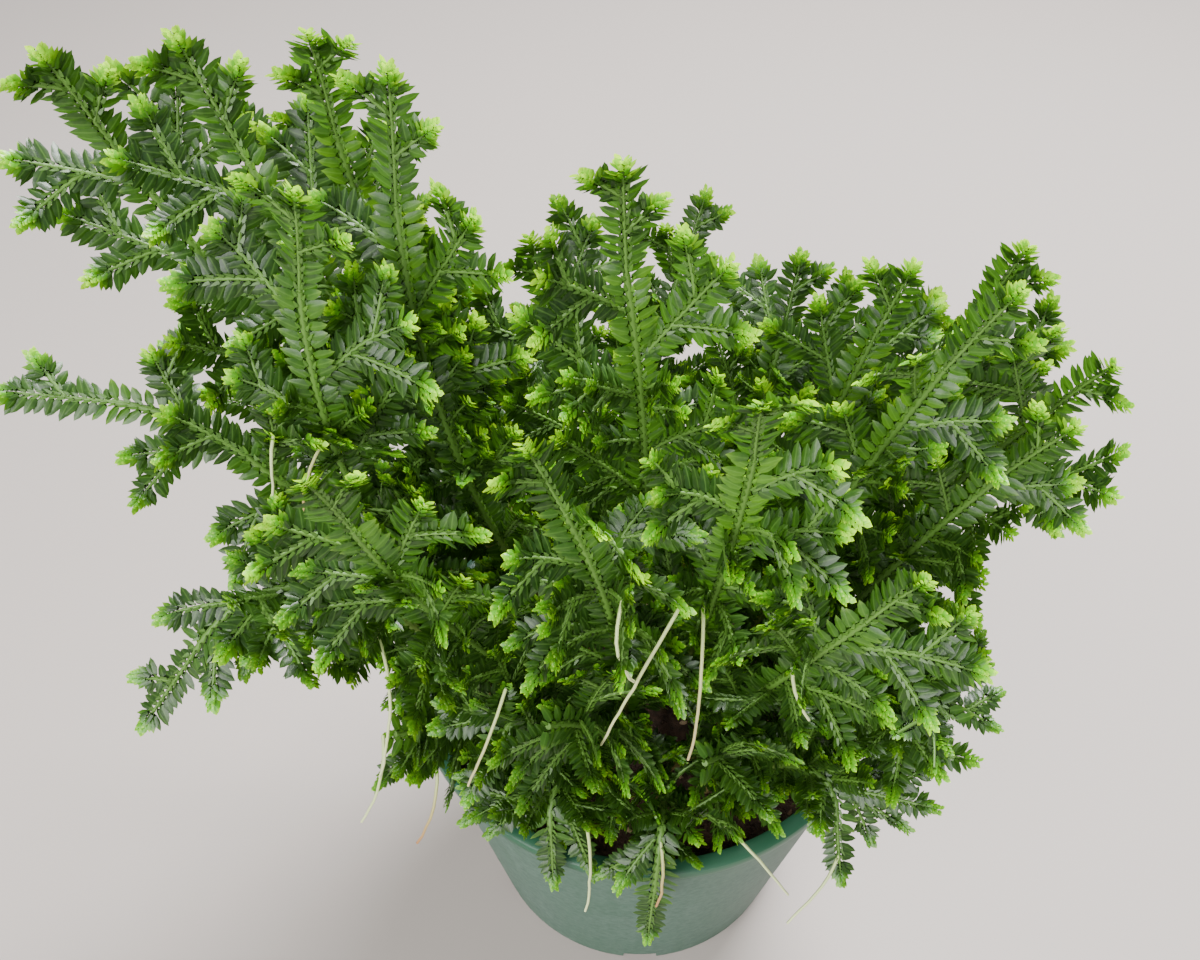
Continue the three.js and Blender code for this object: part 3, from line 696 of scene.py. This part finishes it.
def in_scene(name, data):
    """Puts a mesh, camera or light in the scene, as an object."""
    made = bpy.data.objects.new(name, data)
    bpy.context.scene.collection.objects.link(made)
    return made


def mesh_object(name, points, faces, edges=()):
    mesh = bpy.data.meshes.new(name)
    mesh.from_pydata([tuple(p) for p in points], list(edges), list(faces))
    mesh.shade_smooth()
    return in_scene(name, mesh)


def shape_object(name, shape):
    """Makes an object of a bmesh shape, which ends there."""
    mesh = bpy.data.meshes.new(name)
    shape.to_mesh(mesh)
    shape.free()
    return in_scene(name, mesh)


def settled(made, tree, values):
    """Runs a node tree on an object and keeps what it makes as a plain mesh."""
    modifier = made.modifiers.new("grow", "NODES")
    modifier.node_group = tree
    for item in tree.interface.items_tree:
        if item.in_out == "INPUT" and item.name in values:
            modifier[item.identifier] = values[item.name]
    depsgraph = bpy.context.evaluated_depsgraph_get()
    result = bpy.data.meshes.new_from_object(
        made.evaluated_get(depsgraph), preserve_all_data_layers=True, depsgraph=depsgraph)
    made.modifiers.clear()
    made.data = result
    result.name = made.name
    keep_used_finishes(result)
    return made


def keep_used_finishes(mesh):
    """Drops the empty material slots that joining leaves behind."""
    finishes = list(mesh.materials)
    slots = np.zeros(len(mesh.polygons), np.int32)
    mesh.polygons.foreach_get("material_index", slots)
    used = [i for i, finish in enumerate(finishes) if finish]
    mesh.materials.clear()
    for i in used:
        mesh.materials.append(finishes[i])
    places = np.array([used.index(i) if i in used else 0 for i in range(len(finishes))], np.int32)
    mesh.polygons.foreach_set("material_index", places[slots])


def leaf_template(name, rows, rise, curl, finish):
    """A leaf one unit long: rows of (distance from the base, width), pointed at both ends."""
    points, faces = [(0, 0, 0)], []
    columns = 3 if rise else 2
    for u, width in rows:
        for c in range(columns):
            v = 2 * c / (columns - 1) - 1
            points.append((u, v * width / 2, rise * width * (1 - abs(v)) - curl * u * u))
    points.append((1, 0, -curl))
    tip = len(points) - 1
    for c in range(columns - 1):
        faces.append((0, 1 + c, 2 + c)[::-1])
        for r in range(len(rows) - 1):
            a = 1 + r * columns + c
            faces.append((a, a + columns, a + columns + 1, a + 1))
        b = 1 + (len(rows) - 1) * columns + c
        faces.append((b, tip, b + 1))
    made = mesh_object(name, points, faces)
    made.data.materials.append(finish)
    uv = made.data.uv_layers.new(name="leaf_uv")
    for loop in made.data.loops:
        x, y, _ = points[loop.vertex_index]
        uv.data[loop.index].uv = (x, y + 0.5)
    return made


class Lines:
    """The middle lines of one leafy stem, with what each place along them needs."""

    VALUES = ("kind", "size", "spread", "youth", "tint", "woody", "thickness", "fine")

    def __init__(self):
        self.points, self.edges, self.faces = [], [], []
        self.values = {name: [] for name in self.VALUES}

    def add(self, kind, stations):
        for i, (point, face, values) in enumerate(stations):
            if i:
                self.edges.append((len(self.points) - 1, len(self.points)))
            self.points.append(np.asarray(point) * MM)
            self.faces.append(face)
            for name in self.VALUES:
                self.values[name].append(kind if name == "kind" else values.get(name, 0.0))

    def made(self, name):
        piece = mesh_object(name, self.points, [], self.edges)
        for key, values in self.values.items():
            layer = piece.data.attributes.new(key, "FLOAT", "POINT")
            layer.data.foreach_set("value", np.array(values, np.float32))
        layer = piece.data.attributes.new("face", "FLOAT_VECTOR", "POINT")
        layer.data.foreach_set("vector", np.array(self.faces, np.float32).ravel())
        return piece


BRANCH, STEM, ROOT, STEM_LEAVES = 0, 1, 2, 3


def branch_stations(branch, tint, vigour):
    """Leaves grow smaller, paler and more upright toward the end of a branch, and are finer low down."""
    count = max(4, math.ceil(branch.length / STATION_STEP))
    fine = mix(smooth(share_between(branch.start[2], *FINE_HEIGHTS)), FINEST, 1.0)
    stations = []
    for i in range(count + 1):
        s = branch.length * i / count
        left_over = branch.length - s
        youth = vigour * smooth(1 - left_over / YOUNG_LENGTH) ** 1.3
        grown = smooth(left_over / NARROWING)
        size = branch.half * mix(smooth(s / WIDENING), BASE_LEAF, 1.0) * mix(grown, TIP_LEAF, 1.0)
        spread = math.radians(mix(grown, *LEAF_SPREAD))
        stations.append((branch.at(s), branch.frame(s)[1], {
            "size": size * fine * MM, "spread": spread, "youth": youth, "tint": tint, "fine": fine,
            "thickness": mix(s / branch.length, *RIB_THICK) * MM}))
    return stations


def stem_lines(stem, room):
    lines = Lines()
    draws = Draws(stem.index + LOOK_SEED)
    x, y = stem.foot
    stations = [((x, y, z), (0, -1, 0), {"woody": 1.0, "thickness": STEM_THICK[0] * MM})
                for z in (STEM_FOOT, (STEM_FOOT + STEM_START) / 2)]
    for t in evenly(STEM_STATIONS, 0, END_SPRAY):
        stations.append((stem.at(t), stem.frame(t)[2], {
            "woody": 1 - smooth(t / WOODY_TO), "thickness": mix(t, *STEM_THICK) * MM}))
    lines.add(STEM, stations)
    lines.add(STEM_LEAVES, [(stem.at(t), stem.frame(t)[2], {
        "size": mix(smooth(t / WOODY_TO), *STEM_LEAF) * MM, "spread": math.radians(STEM_LEAF_SPREAD),
        "youth": 0.2 * t, "tint": 0.5, "fine": 1.0})
        for t in evenly(LEAF_STATIONS, LEAFY_FROM, END_SPRAY)])
    for number, (t, spray) in enumerate(stem.sprays):
        # Painted shade: sprays that end low get darker leaves and duller tips
        painted_shade = 1 - smooth(share_between(spray.at(spray.length)[2], *SHADE_HEIGHTS))
        tint = mix(draws.next(), 0.1, 1.0) * (1 - SHADE * painted_shade)
        vigour = mix(draws.next(), 0.7, 1.0) * (1 - SHADE * painted_shade)
        vigour *= 1 if number < stem.solid_sprays else FILL_VIGOUR
        lines.add(BRANCH, branch_stations(spray, tint, vigour))
        for lobe in spray.lobes:
            lines.add(BRANCH, branch_stations(lobe, tint, vigour * mix(draws.next(), 0.8, 1.0)))
    hanging = [root_points(stem, room)]
    for name, *points in HANGING_ROOTS:
        if name == stem.name:
            start, middle, end = (np.array(p, float) for p in points)
            hanging.append([stem.nearest(start), middle, end])
    for points in hanging:
        if points:
            add_root(lines, points, draws)
    return lines


def add_root(lines, points, draws):
    a, b, c = points
    tint = draws.next()
    stations = []
    for t in evenly(ROOT_STATIONS, 0, 1):
        place = a * (1 - t) * (1 - 2 * t) + b * 4 * t * (1 - t) + c * t * (2 * t - 1)
        place = place + np.array([draws.next() - 0.5, draws.next() - 0.5, 0]) * ROOT_WAVER * t
        stations.append((place, (0, -1, 0), {
            "youth": t, "tint": tint, "thickness": mix(t, *ROOT_THICK) * MM}))
    lines.add(ROOT, stations)


def new_tree(name, inputs):
    """A node tree that takes a shape and these other inputs and gives a shape."""
    tree = bpy.data.node_groups.new(name, "GeometryNodeTree")
    sockets = tree.interface
    sockets.new_socket("Shape", in_out="INPUT", socket_type="NodeSocketGeometry")
    for key, value in inputs.items():
        kind = "NodeSocketInt" if isinstance(value, int) else "NodeSocketFloat"
        sockets.new_socket(key, in_out="INPUT", socket_type=kind).default_value = value
    sockets.new_socket("Shape", in_out="OUTPUT", socket_type="NodeSocketGeometry")
    add = functools.partial(node, tree)
    return tree, add, add("NodeGroupInput", out=None).outputs


def leafy_stem_tree(blade, scale_leaf, young_leaf, leaf_finish, stem_finish, root_finish):
    """Sets two rows of side leaves, two rows of small middle leaves and a crowded tip on each branch,
    and gives stems, ribs and roots their thickness. Inside the tree lengths are in metres."""
    tree, add, given = new_tree("leafy_stem", {
        "Leaf Pitch": 1.55 * MM, "Leaf Width": 1.95 * MM, "Stem Leaf Pitch": 2.1 * MM,
        "Middle Leaf Length": 1.9 * MM, "Middle Leaf Width": 0.62 * MM, "Tip Length": 4.4 * MM,
        "Tip Pitch": 0.68 * MM, "Tip Leaf Width": 1.28 * MM, "Seed": 0})
    kept = {name: add("GeometryNodeInputNamedAttribute", {"Name": name}, data_type="FLOAT")
            for name in ("kind", "size", "spread", "thickness", "fine")}
    towards = add("GeometryNodeInputNamedAttribute", {"Name": "face"}, **VECTORS)
    tangent = add("GeometryNodeInputTangent")
    upright = add("FunctionNodeAxesToRotation", {0: towards, 1: tangent},
                  primary_axis="Z", secondary_axis="X")
    circle = {sides: add("GeometryNodeCurvePrimitiveCircle", {"Resolution": sides, "Radius": 1.0})
              for sides in (8, 5, 4)}

    def lines_of(kind):
        is_kind = add("FunctionNodeCompare", {"A": kept["kind"], "B": float(kind), "Epsilon": 0.1},
                      operation="EQUAL")
        picked = add("GeometryNodeSeparateGeometry", {0: given["Shape"], 1: is_kind})
        return add("GeometryNodeMeshToCurve", {0: picked})

    def row(points, side, leaf, base, turns, length, width, seed, paler=0.0):
        """A leaf at each point, its base moved within the branch's own directions, then turned and sized.
        Base and turns are those of the left side, and are mirrored for the right."""
        shape = add("GeometryNodeObjectInfo", {"Object": leaf}, "Geometry")
        leaves = add("GeometryNodeInstanceOnPoints", {
            "Points": points, "Instance": shape, "Rotation": upright})
        place = add("ShaderNodeCombineXYZ", dict(enumerate(base)))
        place = add("ShaderNodeVectorMath", {0: place, 1: (side, side, 1)}, **TIMES)
        leaves = add("GeometryNodeTranslateInstances", {0: leaves, 2: place, 3: True})
        own_seed = add("ShaderNodeMath", {0: given["Seed"], 1: float(seed + side)}, operation="ADD")
        sway = add("FunctionNodeRandomValue", {
            0: (-0.22, -0.18, -0.17), 1: (0.22, 0.18, 0.17), "Seed": own_seed}, **VECTORS)
        angles = add("ShaderNodeCombineXYZ", dict(enumerate(turns)))
        angles = add("ShaderNodeVectorMath", {0: angles, 1: (side, 1, side)}, **TIMES)
        angles = add("ShaderNodeVectorMath", {0: angles, 1: sway}, operation="ADD")
        leaves = add("GeometryNodeRotateInstances", {0: leaves, 2: angles, 4: True})
        chance = add("FunctionNodeRandomValue", {2: 0.82, 3: 1.1, "Seed": own_seed}, 1)
        length = add("ShaderNodeMath", {0: length, 1: chance}, **TIMES)
        width = add("ShaderNodeMath", {0: width, 1: kept["fine"]}, **TIMES)
        scale = add("ShaderNodeCombineXYZ", {0: length, 1: width, 2: width})
        leaves = add("GeometryNodeScaleInstances", {0: leaves, 2: scale, 4: True})
        tint_seed = add("ShaderNodeMath", {0: own_seed, 1: 57.0}, operation="ADD")
        own = add("FunctionNodeRandomValue", {2: paler, 3: paler + 1.0, "Seed": tint_seed}, 1)
        return add("GeometryNodeStoreNamedAttribute", {0: leaves, "Name": "leaf_tint", "Value": own},
                   domain="INSTANCE")

    def tube(curve, step, sides, finish):
        line = add("GeometryNodeResampleCurve", {"Curve": curve, "Length": step}, **BY_LENGTH)
        made = add("GeometryNodeCurveToMesh", {
            "Curve": line, "Profile Curve": circle[sides], "Scale": kept["thickness"], "Fill Caps": True})
        smoothed = add("GeometryNodeSetShadeSmooth", {0: made})
        return add("GeometryNodeSetMaterial", {0: smoothed, "Material": finish})

    branches = lines_of(BRANCH)
    length = add("GeometryNodeSplineLength")
    side_size = (kept["size"], given["Leaf Width"])
    middle_size = (given["Middle Leaf Length"], given["Middle Leaf Width"])
    spread = kept["spread"]
    rows = []

    # Side leaves and middle leaves of the branches
    pitch = add("ShaderNodeMath", {0: given["Leaf Pitch"], 1: kept["fine"]}, **TIMES)
    ahead = add("ShaderNodeMath", {0: pitch, 1: 0.25}, **TIMES)
    behind = add("ShaderNodeMath", {0: pitch, 1: -0.25}, **TIMES)
    crowded = add("ShaderNodeMath", {0: length, 1: given["Tip Length"]}, operation="SUBTRACT")
    crowded = add("ShaderNodeMath", {0: crowded, 1: 0.0012}, operation="MAXIMUM")
    line = add("GeometryNodeTrimCurve", {"Curve": branches, 4: 0.0009, 5: crowded}, **BY_LENGTH)
    line = add("GeometryNodeResampleCurve", {"Curve": line, "Length": pitch}, **BY_LENGTH)
    for side in (1, -1):
        rows.append(row(line, side, blade, (ahead, 0.0003, 0.0), (-0.2, 0.14, spread), *side_size, 10))
        rows.append(row(line, side, scale_leaf, (behind, 0.0003, 0.0005), (0.35, -0.08, 0.36),
                        *middle_size, 20, 1.05))

    # Crowded young leaves that make the blunt spiky end
    line = add("GeometryNodeTrimCurve", {"Curve": branches, 4: crowded, 5: length}, **BY_LENGTH)
    line = add("GeometryNodeResampleCurve", {"Curve": line, "Length": given["Tip Pitch"]}, **BY_LENGTH)
    long = add("ShaderNodeMath", {0: kept["size"], 1: 0.9}, **TIMES)
    short = add("ShaderNodeMath", {0: kept["size"], 1: 0.62}, **TIMES)
    narrow = add("ShaderNodeMath", {0: given["Tip Leaf Width"], 1: 0.8}, **TIMES)
    closed = add("ShaderNodeMath", {0: spread, 1: 0.45}, **TIMES)
    for side in (1, -1):
        rows.append(row(line, side, young_leaf, (0.0002, 0.0003, 0.0), (-0.5, 0.0, spread),
                        long, given["Tip Leaf Width"], 30))
        rows.append(row(line, side, young_leaf, (-0.0002, 0.0003, 0.0005), (-0.25, -0.32, closed),
                        short, narrow, 40))

    # Wide-set leaves of the main stem
    line = add("GeometryNodeResampleCurve", {
        "Curve": lines_of(STEM_LEAVES), "Length": given["Stem Leaf Pitch"]}, **BY_LENGTH)
    for side in (1, -1):
        rows.append(row(line, side, blade, (0.0008, 0.0006, 0.0003), (0.2, -0.05, spread), *side_size, 50))
        rows.append(row(line, side, scale_leaf, (-0.0008, 0.0004, 0.0008), (0.3, -0.15, 0.4),
                        *middle_size, 60, 1.05))

    leaves = add("GeometryNodeJoinGeometry", {0: rows})
    leaves = add("GeometryNodeRealizeInstances", {0: leaves})
    leaves = add("GeometryNodeSetMaterial", {0: leaves, "Material": leaf_finish})
    whole = add("GeometryNodeJoinGeometry", {0: [
        leaves, tube(lines_of(STEM), 0.004, 8, stem_finish), tube(branches, 0.004, 4, stem_finish),
        tube(lines_of(ROOT), 0.0025, 5, root_finish)]})
    add("NodeGroupOutput", {0: whole}, None)
    return tree


def turned(name, profile, segments):
    """A closed shape turned about the upright axis from (radius, height) pairs in millimetres."""
    shape = bmesh.new()
    rings = []
    for radius, height in profile:
        if radius == 0:
            rings.append([shape.verts.new((0, 0, height * MM))])
            continue
        rings.append([shape.verts.new((radius * MM * math.cos(2 * math.pi * i / segments),
                                       radius * MM * math.sin(2 * math.pi * i / segments), height * MM))
                      for i in range(segments)])
    for low, high in zip(rings, rings[1:]):
        for i in range(segments):
            j = (i + 1) % segments
            corners = [low[i % len(low)], low[j % len(low)], high[j % len(high)], high[i % len(high)]]
            kept = [v for k, v in enumerate(corners) if v not in corners[:k]]
            shape.faces.new(kept)
    bmesh.ops.recalc_face_normals(shape, faces=shape.faces)
    return shape_object(name, shape)


def nursery_pot(finish):
    rim = POT_HEIGHT - LIP_HEIGHT
    profile = [
        (0, 0), (20, 0), (BASE_RADIUS - 1.5, 0), (BASE_RADIUS - 0.7, 0.25), (BASE_RADIUS - 0.15, 0.8),
        (BASE_RADIUS, 1.5), (WALL_RADIUS, rim), (WALL_RADIUS + 0.8, rim + 0.1),
        (LIP_RADIUS - 0.2, rim + 0.35), (LIP_RADIUS, rim + 0.8), (LIP_RADIUS, POT_HEIGHT - 0.9),
        (LIP_RADIUS - 0.2, POT_HEIGHT - 0.35), (LIP_RADIUS - 0.8, POT_HEIGHT),
        (LIP_INNER_RADIUS + 0.7, POT_HEIGHT), (LIP_INNER_RADIUS + 0.15, POT_HEIGHT - 0.25),
        (LIP_INNER_RADIUS, POT_HEIGHT - 0.7), (BASE_RADIUS - WALL, FLOOR), (20, FLOOR), (0, FLOOR)]
    pot = turned("nursery_pot", profile, POT_SEGMENTS)
    pot.data.materials.append(finish)
    cutters = []
    for i in range(DRAIN_SLOTS):
        angle = math.radians(360 * (i + 0.5) / DRAIN_SLOTS)
        slot = bmesh.new()
        bmesh.ops.create_cube(slot, size=1)
        bmesh.ops.scale(slot, vec=[s * MM for s in DRAIN_SIZE], verts=slot.verts)
        bmesh.ops.translate(slot, vec=(BASE_RADIUS * MM, 0, 1.5 * MM), verts=slot.verts)
        bmesh.ops.rotate(slot, matrix=Matrix.Rotation(angle, 3, "Z"), verts=slot.verts)
        cutters.append(shape_object("drain_slot", slot))
        modifier = pot.modifiers.new("slot", "BOOLEAN")
        modifier.object = cutters[-1]
        modifier.operation = "DIFFERENCE"
        modifier.solver = "EXACT"
    depsgraph = bpy.context.evaluated_depsgraph_get()
    result = bpy.data.meshes.new_from_object(pot.evaluated_get(depsgraph), depsgraph=depsgraph)
    pot.modifiers.clear()
    pot.data = result
    for cutter in cutters:
        bpy.data.objects.remove(cutter)
    result.shade_smooth()
    result.set_sharp_from_angle(angle=math.radians(35))
    return pot


def soil_height(x, y):
    """The crumbly top of the soil at a place, in millimetres."""
    radius = math.hypot(x, y)
    crown = mix(min(radius / 52, 1) ** 2, SOIL_CROWN, SOIL_EDGE)
    coarse = noise.noise(Vector((x / 9, y / 9, 3.1)))
    fine = noise.noise(Vector((x / 2.6, y / 2.6, 7.7)))
    return crown - 0.4 + (1.1 * coarse + 0.7 * fine) * smooth((52.3 - radius) / 3)


def inside_radius(z):
    """The inner radius of the pot's wall at a height."""
    return mix(share_between(z, FLOOR, POT_HEIGHT - 0.6), BASE_RADIUS - WALL, LIP_INNER_RADIUS)


def soil_bed(peat, chips):
    top = inside_radius(SOIL_EDGE) - SOIL_GAP
    rings = [top * (1 - (1 - i / SOIL_RINGS) ** 1.1) if i else 0 for i in range(SOIL_RINGS + 1)]
    base = FLOOR + FLOOR_GAP
    profile = [(0, base), (inside_radius(FLOOR) - FLOOR_GAP, base)]
    profile += [(radius, SOIL_EDGE) for radius in reversed(rings)]
    soil = turned("soil_bed", profile, SOIL_SEGMENTS)
    for vertex in soil.data.vertices:
        if vertex.co.z > SOIL_EDGE / 2 * MM:
            vertex.co.z = soil_height(vertex.co.x / MM, vertex.co.y / MM) * MM
    soil.data.shade_smooth()
    soil.data.materials.append(peat)
    crumb = bmesh.new()
    bmesh.ops.create_icosphere(crumb, subdivisions=0, radius=1)
    for vertex in crumb.verts:
        vertex.co *= 0.8 + 0.5 * noise.noise(vertex.co * 3.3)
    shape = shape_object("crumb", crumb)
    settled(soil, crumb_tree(shape, peat, chips), {})
    bpy.data.objects.remove(shape)
    return soil


def crumb_tree(crumb, peat, chips):
    """Scatters peat crumbs and bark chips over the top of the soil."""
    tree, add, given = new_tree("soil_crumbs", {
        "Crumb Density": 170000.0, "Chip Density": 22000.0, "Crumb Size": 0.9 * MM})
    position = add("GeometryNodeInputPosition")
    height = add("ShaderNodeSeparateXYZ", {0: position}, "Z")
    on_top = add("FunctionNodeCompare", {0: height, 1: (SOIL_EDGE - 5) * MM}, operation="GREATER_THAN")
    shape = add("GeometryNodeObjectInfo", {"Object": crumb}, "Geometry")
    parts = [given["Shape"]]
    for density, least, most, finish, seed in (
            (given["Crumb Density"], (0.6, 0.6, 0.4), (1.3, 1.3, 0.9), peat, 3),
            (given["Chip Density"], (1.2, 0.5, 0.25), (2.6, 1.0, 0.5), chips, 8)):
        points = add("GeometryNodeDistributePointsOnFaces", {
            "Mesh": given["Shape"], "Selection": on_top, "Density": density, "Seed": seed})
        spin = add("FunctionNodeRandomValue", {
            0: (-0.5, -0.5, 0), 1: (0.5, 0.5, 6.28), "Seed": seed + 1}, **VECTORS)
        grow = add("FunctionNodeRandomValue", {0: least, 1: most, "Seed": seed + 2}, **VECTORS)
        grow = add("ShaderNodeVectorMath", {0: grow, 3: given["Crumb Size"]}, operation="SCALE")
        bits = add("GeometryNodeInstanceOnPoints", {
            "Points": points, "Instance": shape, "Rotation": spin, "Scale": grow})
        own = add("FunctionNodeRandomValue", {"Seed": seed + 3}, 1)
        bits = add("GeometryNodeStoreNamedAttribute", {0: bits, "Name": "leaf_tint", "Value": own},
                   domain="INSTANCE")
        bits = add("GeometryNodeRealizeInstances", {0: bits})
        parts.append(add("GeometryNodeSetMaterial", {0: bits, "Material": finish}))
    whole = add("GeometryNodeJoinGeometry", {0: parts})
    add("NodeGroupOutput", {0: whole}, None)
    return tree


def set_camera():
    data = bpy.data.cameras.new("camera")
    data.lens = CAMERA_LENS
    data.sensor_width = SENSOR_WIDTH
    camera = in_scene("camera", data)
    camera.location = CAMERA_PLACE
    camera.rotation_euler = (math.radians(CAMERA_TILT), 0, 0)
    bpy.context.scene.camera = camera


def soft_light(name, place, size, power, colour):
    data = bpy.data.lights.new(name, "AREA")
    data.shape = "DISK"
    data.size = size
    data.energy = power
    data.color = linear(colour)[:3]
    lamp = in_scene(name, data)
    lamp.location = place
    lamp.rotation_euler = (Vector(LIT_POINT) - Vector(place)).to_track_quat("-Z", "Y").to_euler()


def pale_floor(add):
    # Plain matt table top, with no pattern of its own.
    return add("ShaderNodeBsdfPrincipled", {"Base Color": linear("#989089"), "Roughness": 0.75})


def studio():
    corners = [(x * TABLE_HALF, y * TABLE_HALF, 0) for x, y in ((-1, -1), (1, -1), (1, 1), (-1, 1))]
    floor = mesh_object("floor", corners, [(0, 1, 2, 3)])
    floor.data.materials.append(finish_of(pale_floor))
    soft_light("window", (0.3, 0.42, 0.9), 0.5, 42, "#fbfbff")
    soft_light("fill", (-0.35, -0.7, 0.62), 1.0, 24, "#ffffff")
    world = bpy.data.worlds.new("room")
    world.use_nodes = True
    sky = world.node_tree.nodes["Background"]
    sky.inputs["Color"].default_value = linear("#e6ecf2")
    sky.inputs["Strength"].default_value = 0.55
    bpy.context.scene.world = world


def make_plant():
    """One piece for each leafy stem, in place of its solid."""
    leaf_finish = finish_of(spikemoss_leaf)
    blade = leaf_template("leaf_blade", [(0.1, 0.66), (0.42, 1.0), (0.78, 0.64)], 0.12, 0.12, leaf_finish)
    scale_leaf = leaf_template("scale_leaf", [(0.12, 1.0), (0.62, 0.85)], 0, 0.1, leaf_finish)
    young_leaf = leaf_template("young_leaf", [(0.2, 0.85), (0.66, 0.9)], 0.18, -0.1, leaf_finish)
    tree = leafy_stem_tree(
        blade, scale_leaf, young_leaf, leaf_finish, finish_of(spikemoss_stem), finish_of(aerial_root))
    stems, room = grow_plant()
    for stem in stems:
        piece = stem_lines(stem, room).made("fronds_" + stem.name)
        settled(piece, tree, {"Seed": stem.index * 100})
        for name in ("kind", "size", "spread", "thickness", "fine", "face"):
            layer = piece.data.attributes.get(name)
            if layer:
                piece.data.attributes.remove(layer)
        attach(piece, "root")
        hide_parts("leafy_stem_" + stem.name)
    for template in (blade, scale_leaf, young_leaf):
        bpy.data.objects.remove(template)


set_camera()
studio()
make_plant()
pot = nursery_pot(finish_of(dusty_moulded_polypropylene))
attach(pot, "root")
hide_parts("pot")
soil = soil_bed(finish_of(moist_peat), finish_of(bark_chips))
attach(soil, "root")
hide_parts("soil")
